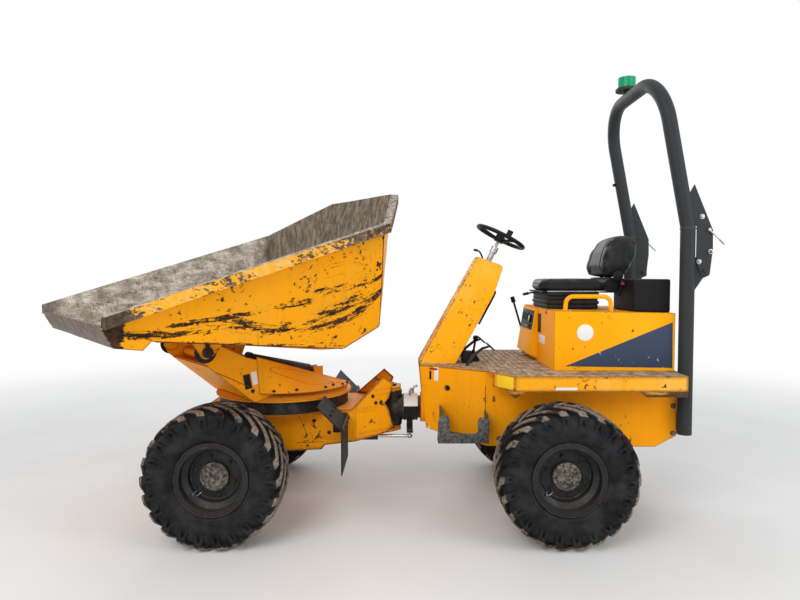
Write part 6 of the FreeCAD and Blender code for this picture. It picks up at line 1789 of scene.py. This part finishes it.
@dataclass
class SwivelDress:
    """Skirt between cheek and table, pressed ridge, blank plate, bolts and grime.

    Args:
        rim: radius where the skirt meets the table.
        cheek: half width over the cheeks.
    """

    rim: float = 0.470
    cheek: float = 0.3068

    def on_skirt(self, share: float, drop: float, side: int) -> Point:
        """A point on the skirt: share towards the rear, drop from the cheek's top to the table."""
        turn = math.radians(41.0 + 101.0 * share)
        ahead = 0.372 - 0.740 * share
        top = Vector((ahead, side * self.cheek, 0.9715 + 0.3304 * ahead))
        foot = Vector((self.rim * math.cos(turn), side * self.rim * math.sin(turn), 0.8515))
        return tuple(top.lerp(foot, drop))

    def skirt(self) -> None:
        """Sloping yellow plate from each cheek down to the table's edge."""
        form = Form()
        for side in (1, -1):
            steps = 24
            upper, lower = [], []
            for index in range(steps + 1):
                upper.append(form.mesh.verts.new(self.on_skirt(index / steps, 0.0, side)))
                lower.append(form.mesh.verts.new(self.on_skirt(index / steps, 1.0, side)))
            edges = [form.mesh.edges.new(pair) for line in (upper, lower) for pair in zip(line, line[1:])]
            made = bmesh.ops.bridge_loops(form.mesh, edges=edges)
            bmesh.ops.recalc_face_normals(form.mesh, faces=made["faces"])
        bmesh.ops.solidify(form.mesh, geom=form.mesh.faces[:], thickness=0.004)
        bmesh.ops.recalc_face_normals(form.mesh, faces=form.mesh.faces[:])
        form.move(form.mesh.verts[:], ON_SWIVEL)
        form.piece("swivel_skirt", "swivel", Finish.PAINT, smooth=50.0)

    def ridges(self) -> None:
        """Pressed ridge and welds on the cheeks."""
        form = Form()
        for side in (1, -1):
            points = [self.on_skirt(share, drop, side) for share, drop in
                      ((0.86, 0.22), (0.60, 0.16), (0.32, 0.16), (0.14, 0.20), (0.10, 0.28), (0.16, 0.38), (0.30, 0.50),
                       (0.42, 0.70), (0.56, 0.72), (0.74, 0.66), (0.80, 0.60))]
            before = set(form.mesh.verts)
            form.pipe(points, 0.0042)
            form.move([vert for vert in form.mesh.verts if vert not in before], ON_SWIVEL)
            b = side * (self.cheek + 0.0008)
            form.weld(((0.640, b, 1.020), (0.420, b, 0.905)), 0.0035, matrix=ON_SWIVEL)
        form.piece("swivel_ridges", "swivel", Finish.PAINT)

    def plates(self) -> None:
        """Blank plates on the cheeks and the bolts of the slew ring."""
        for name, finish, corners in (
            ("swivel_plate_dark", Finish.BLACK, ((0.466, 0.984), (0.420, 0.990), (0.402, 0.896), (0.448, 0.890))),
            ("swivel_plate_pale", Finish.WHITE, ((0.412, 0.997), (0.376, 1.002), (0.360, 0.918), (0.396, 0.912))),
        ):
            form = Form()
            for side in (1, -1):
                form.plate([(a, side * self.cheek, z) for a, z in corners], (0, side * 0.001, 0), 0.0003, matrix=ON_SWIVEL)
            form.piece(name, "swivel", finish)
        form = Form()
        for side in (1, -1):
            for share, drop in ((0.30, 0.90), (0.56, 0.88), (0.66, 0.80), (0.78, 0.86), (0.88, 0.80), (0.12, 0.93)):
                spot = Vector(self.on_skirt(share, drop, side))
                out = Vector((0.45 * spot.x, 0.45 * spot.y / abs(spot.y) * 0.6, 0.8))
                form.bolt(tuple(spot + out.normalized() * 0.003), tuple(out), 0.016, 0.007, washer=0.012, matrix=ON_SWIVEL)
        for side in (1, -1):
            form.rod((0.398, side * 0.3065, 0.876), (0.398, side * 0.3095, 0.876), 0.013, sides=20, matrix=ON_SWIVEL)
        form.piece("slew_bolts", "swivel", Finish.GRIME)

    def grease(self) -> None:
        """Grime bosses round the tipping pins."""
        form = Form()
        for side in (1, -1):
            form.turned([(0.0, 0.036), (0.0060, 0.037), (0.0075, 0.052), (0.0030, 0.068), (0.0, 0.070)],
                        (0.704, side * 0.3066, 1.151), (0, side, 0), steps=40, matrix=ON_SWIVEL)
        form.piece("pin_grime", "swivel", Finish.GRIME)

    def build(self) -> None:
        """Make the swivel frame's pieces."""
        self.skirt()
        self.ridges()
        self.plates()
        self.grease()


@dataclass
class FrontDress:
    """Welds and bolts of the front chassis, the flaps' clamp bars and their brackets.

    Args:
        face: half width over the side plates.
        tail: two points (x, half width) of the tapered tail.
    """

    face: float = 0.3000
    tail: tuple[tuple[float, float], ...] = ((0.075, 0.1896), (0.200, 0.2732))

    def build(self) -> None:
        """Make the front frame's pieces."""
        form = Form()
        for side in (1, -1):
            y = side * self.face
            form.weld(((0.628, y, 0.688), (0.564, y, 0.536)), 0.0032)
            form.weld(((0.640, y, 0.490), (0.455, y, 0.496)), 0.0032)
            form.weld(((0.300, y, 0.540), (0.300, y, 0.688)), 0.0028)
        form.piece("front_welds", "front_frame", Finish.PAINT_FRONT)
        form = Form()
        for side in (1, -1):
            for x, z in ((0.520, 0.640), (0.420, 0.560)):
                form.bolt((x, side * (self.face - 0.0002), z), (0, side, 0), 0.018, 0.008, washer=0.013)
            (back, narrow), (front, wide) = self.tail
            slope = (wide - narrow) / (front - back)
            for x, z in ((0.110, 0.742), (0.075, 0.742), (0.130, 0.790)):
                y = side * (narrow + slope * (x - back))
                form.bolt((x, y, z), (-slope, side, 0), 0.018, 0.008, washer=0.013)
            low, high = sorted((side * 0.318, side * 0.716))
            form.box((0.2860, low, 0.652), (0.2918, high, 0.690), 0.0012)
            for y in (0.345, 0.455, 0.575, 0.690):
                form.bolt((0.2860, side * y, 0.671), (-1, 0, 0), 0.016, 0.007, washer=0.012)
            for y in (0.400, 0.520, 0.640):
                top = Vector((0.371, side * y, 0.7555))
                form.bolt(tuple(top), (-0.707, 0, 0.707), 0.016, 0.007, washer=0.012)
        form.piece("front_bolts", "front_frame", Finish.GREASY)
        form = Form()
        for side in (1, -1):
            low, high = sorted((side * 0.4566, side * 0.500))
            form.box((0.318, low, 0.610), (0.372, high, 0.680), 0.006)
        form.piece("flap_brackets", "front_frame", Finish.BLACK)


@dataclass
class HoopDress:
    """Pins, bolts and beacon base of the folding roll hoop."""

    plate: float = 0.4965

    def build(self) -> None:
        """Make the hoop's pieces."""
        form = Form()
        for side in (1, -1):
            y = side * self.plate
            form.rod((-2.016, y, 1.764), (-2.016, y + side * 0.030, 1.764), 0.009, sides=18, round_by=0.002)
            form.rod((-2.016, y, 1.764), (-2.016, y + side * 0.004, 1.764), 0.016, sides=24, round_by=0.001)
            form.rod((-2.000, y + side * 0.008, 1.905), (-2.096, y + side * 0.014, 1.808), 0.005, sides=12, round_by=0.001)
            form.rod((-2.003, y - side * 0.001, 1.902), (-2.003, y + side * 0.014, 1.902), 0.011, sides=18, round_by=0.002)
            for x, z in ((-1.945, 1.700), (-1.960, 1.985)):
                form.bolt((x, y, z), (0, side, 0), 0.020, 0.009, washer=0.016)
        form.piece("hoop_pins_left_right", "hoop", Finish.ZINC)
        form = Form()
        for side in (1, -1):
            form.turned([(0.0, 0.0452), (0.002, 0.0485), (0.008, 0.0485), (0.010, 0.0452), (0.0, 0.0452)],
                        (-1.880, side * 0.478, 1.904), (0, 0, 1), steps=36)
            for z in (0.640, 0.860):
                form.bolt((-1.8795, side * 0.5228, z), (0, side, 0), 0.024, 0.012, washer=0.018)
        form.piece("post_fixings", "rear_frame", Finish.CHARCOAL)
        form = Form()
        form.turned([(0.0, 0.0), (0.0, 0.0690), (0.004, 0.0720), (0.012, 0.0700), (0.014, 0.0622), (0.014, 0.0)],
                    (-1.705, -0.130, 2.9600), (0, 0, 1), steps=48)
        for index in range(3):
            turn = 2 * math.pi * index / 3 + 0.5
            form.bolt((-1.705 + 0.066 * math.cos(turn), -0.130 + 0.066 * math.sin(turn), 2.9725), (0, 0, 1), 0.007, 0.003)
        form.rod((-1.762, -0.478, 2.330), (-1.738, -0.478, 2.324), 0.012, sides=18, round_by=0.003)
        form.piece("beacon_base", "hoop", Finish.BLACK)


# --------------------------------------------------------------------- stage


@dataclass
class Studio:
    """Camera, lights, floor and background.

    Args:
        eye: the camera's place.
        tilt: how far it looks down, in degrees.
        lens: focal length for a 36 mm sensor.
    """

    eye: Point = (-0.056, 4.30, 1.61)
    tilt: float = 2.287
    lens: float = 27.045

    def camera(self) -> None:
        """Set the camera to the photograph's view."""
        data = bpy.data.cameras.new("camera")
        data.sensor_width = 36.0
        data.lens = self.lens
        data.clip_end = 200.0
        made = bpy.data.objects.new("camera", data)
        bpy.context.scene.collection.objects.link(made)
        made.location = self.eye
        made.rotation_euler = (math.radians(90.0 - self.tilt), 0.0, math.radians(180.0))
        bpy.context.scene.camera = made

    def floor(self) -> None:
        """Lay a pale floor that takes the machine's shadow."""
        shape = Form()
        bmesh.ops.create_grid(shape.mesh, x_segments=1, y_segments=1, size=60.0)
        bmesh.ops.translate(shape.mesh, vec=(0.0, 0.0, -0.0015), verts=shape.mesh.verts)
        data = bpy.data.meshes.new("floor")
        shape.mesh.to_mesh(data)
        shape.mesh.free()
        material, graph, shader = new_material("floor")
        place = graph.place()
        tone = graph.ramp(graph.noise(place, 1.2, 3.0, 0.5), 0.3, 0.7)
        pale = graph.mix(tone, (0.80, 0.80, 0.79), (0.83, 0.83, 0.82))
        away = graph.node("ShaderNodeVectorMath", {0: place}, operation="LENGTH").outputs["Value"]
        far = graph.ramp(away, 3.2, 9.0)
        white = graph.node("ShaderNodeRGB")
        white.outputs[0].default_value = (1.0, 1.0, 1.0, 1.0)
        graph.put(shader.inputs["Base Color"], graph.mix(far, pale, (0.0, 0.0, 0.0)))
        graph.put(shader.inputs["Emission Color"], graph.mix(far, (0.0, 0.0, 0.0), white.outputs[0]))
        graph.put(shader.inputs["Emission Strength"], 1.0)
        graph.put(shader.inputs["Specular IOR Level"], 0.0)
        graph.put(shader.inputs["Roughness"], 0.9)
        data.materials.append(material)
        made = bpy.data.objects.new("floor", data)
        bpy.context.scene.collection.objects.link(made)

    def lights(self) -> None:
        """Soft light from above and from the camera's side."""
        for name, place, aim, size, power in (
            ("key", (2.5, 5.5, 5.0), (0.0, 0.0, 0.9), 4.5, 230.0),
            ("fill", (-5.5, 4.0, 3.5), (-0.4, 0.0, 1.0), 4.0, 120.0),
            ("back", (0.5, -6.0, 4.5), (0.0, 0.0, 1.2), 5.0, 130.0),
        ):
            data = bpy.data.lights.new(name, "AREA")
            data.shape = "DISK"
            data.size = size
            data.energy = power
            made = bpy.data.objects.new(name, data)
            bpy.context.scene.collection.objects.link(made)
            made.location = place
            way = Vector(aim) - Vector(place)
            made.rotation_euler = way.to_track_quat("-Z", "Y").to_euler()

    def background(self) -> None:
        """White behind the machine, soft grey light from all round."""
        world = bpy.data.worlds.new("studio")
        bpy.context.scene.world = world
        world.use_nodes = True
        world.node_tree.nodes.clear()
        graph = Graph(world.node_tree)
        path = graph.node("ShaderNodeLightPath").outputs
        seen = graph.math("MAXIMUM", graph.math("MAXIMUM", path["Is Camera Ray"], path["Is Glossy Ray"]),
                          path["Is Transmission Ray"])
        white = graph.node("ShaderNodeBackground", {"Color": (1.0, 1.0, 1.0), "Strength": 1.0})
        soft = graph.node("ShaderNodeBackground", {"Color": (0.95, 0.97, 1.0), "Strength": 0.62})
        mixed = graph.node("ShaderNodeMixShader", {0: seen, 1: soft.outputs[0], 2: white.outputs[0]})
        graph.node("ShaderNodeOutputWorld", {"Surface": mixed.outputs[0]})
        bpy.context.scene.view_settings.view_transform = "Standard"

    def build(self) -> None:
        """Set up the whole studio."""
        self.camera()
        self.floor()
        self.lights()
        self.background()


def main() -> None:
    """Build the scene and note its size."""
    logging.basicConfig(level=logging.INFO, format="%(message)s")
    Studio().build()
    build_effects()
    Frame().dress()
    for part in (Seat(), Tyres(), Hubs(), Skip(), CoverDress(), DeckDress(), PivotDress(), SwivelDress(), FrontDress(),
                 HoopDress()):
        part.build()


if __name__ == "__main__":
    main()
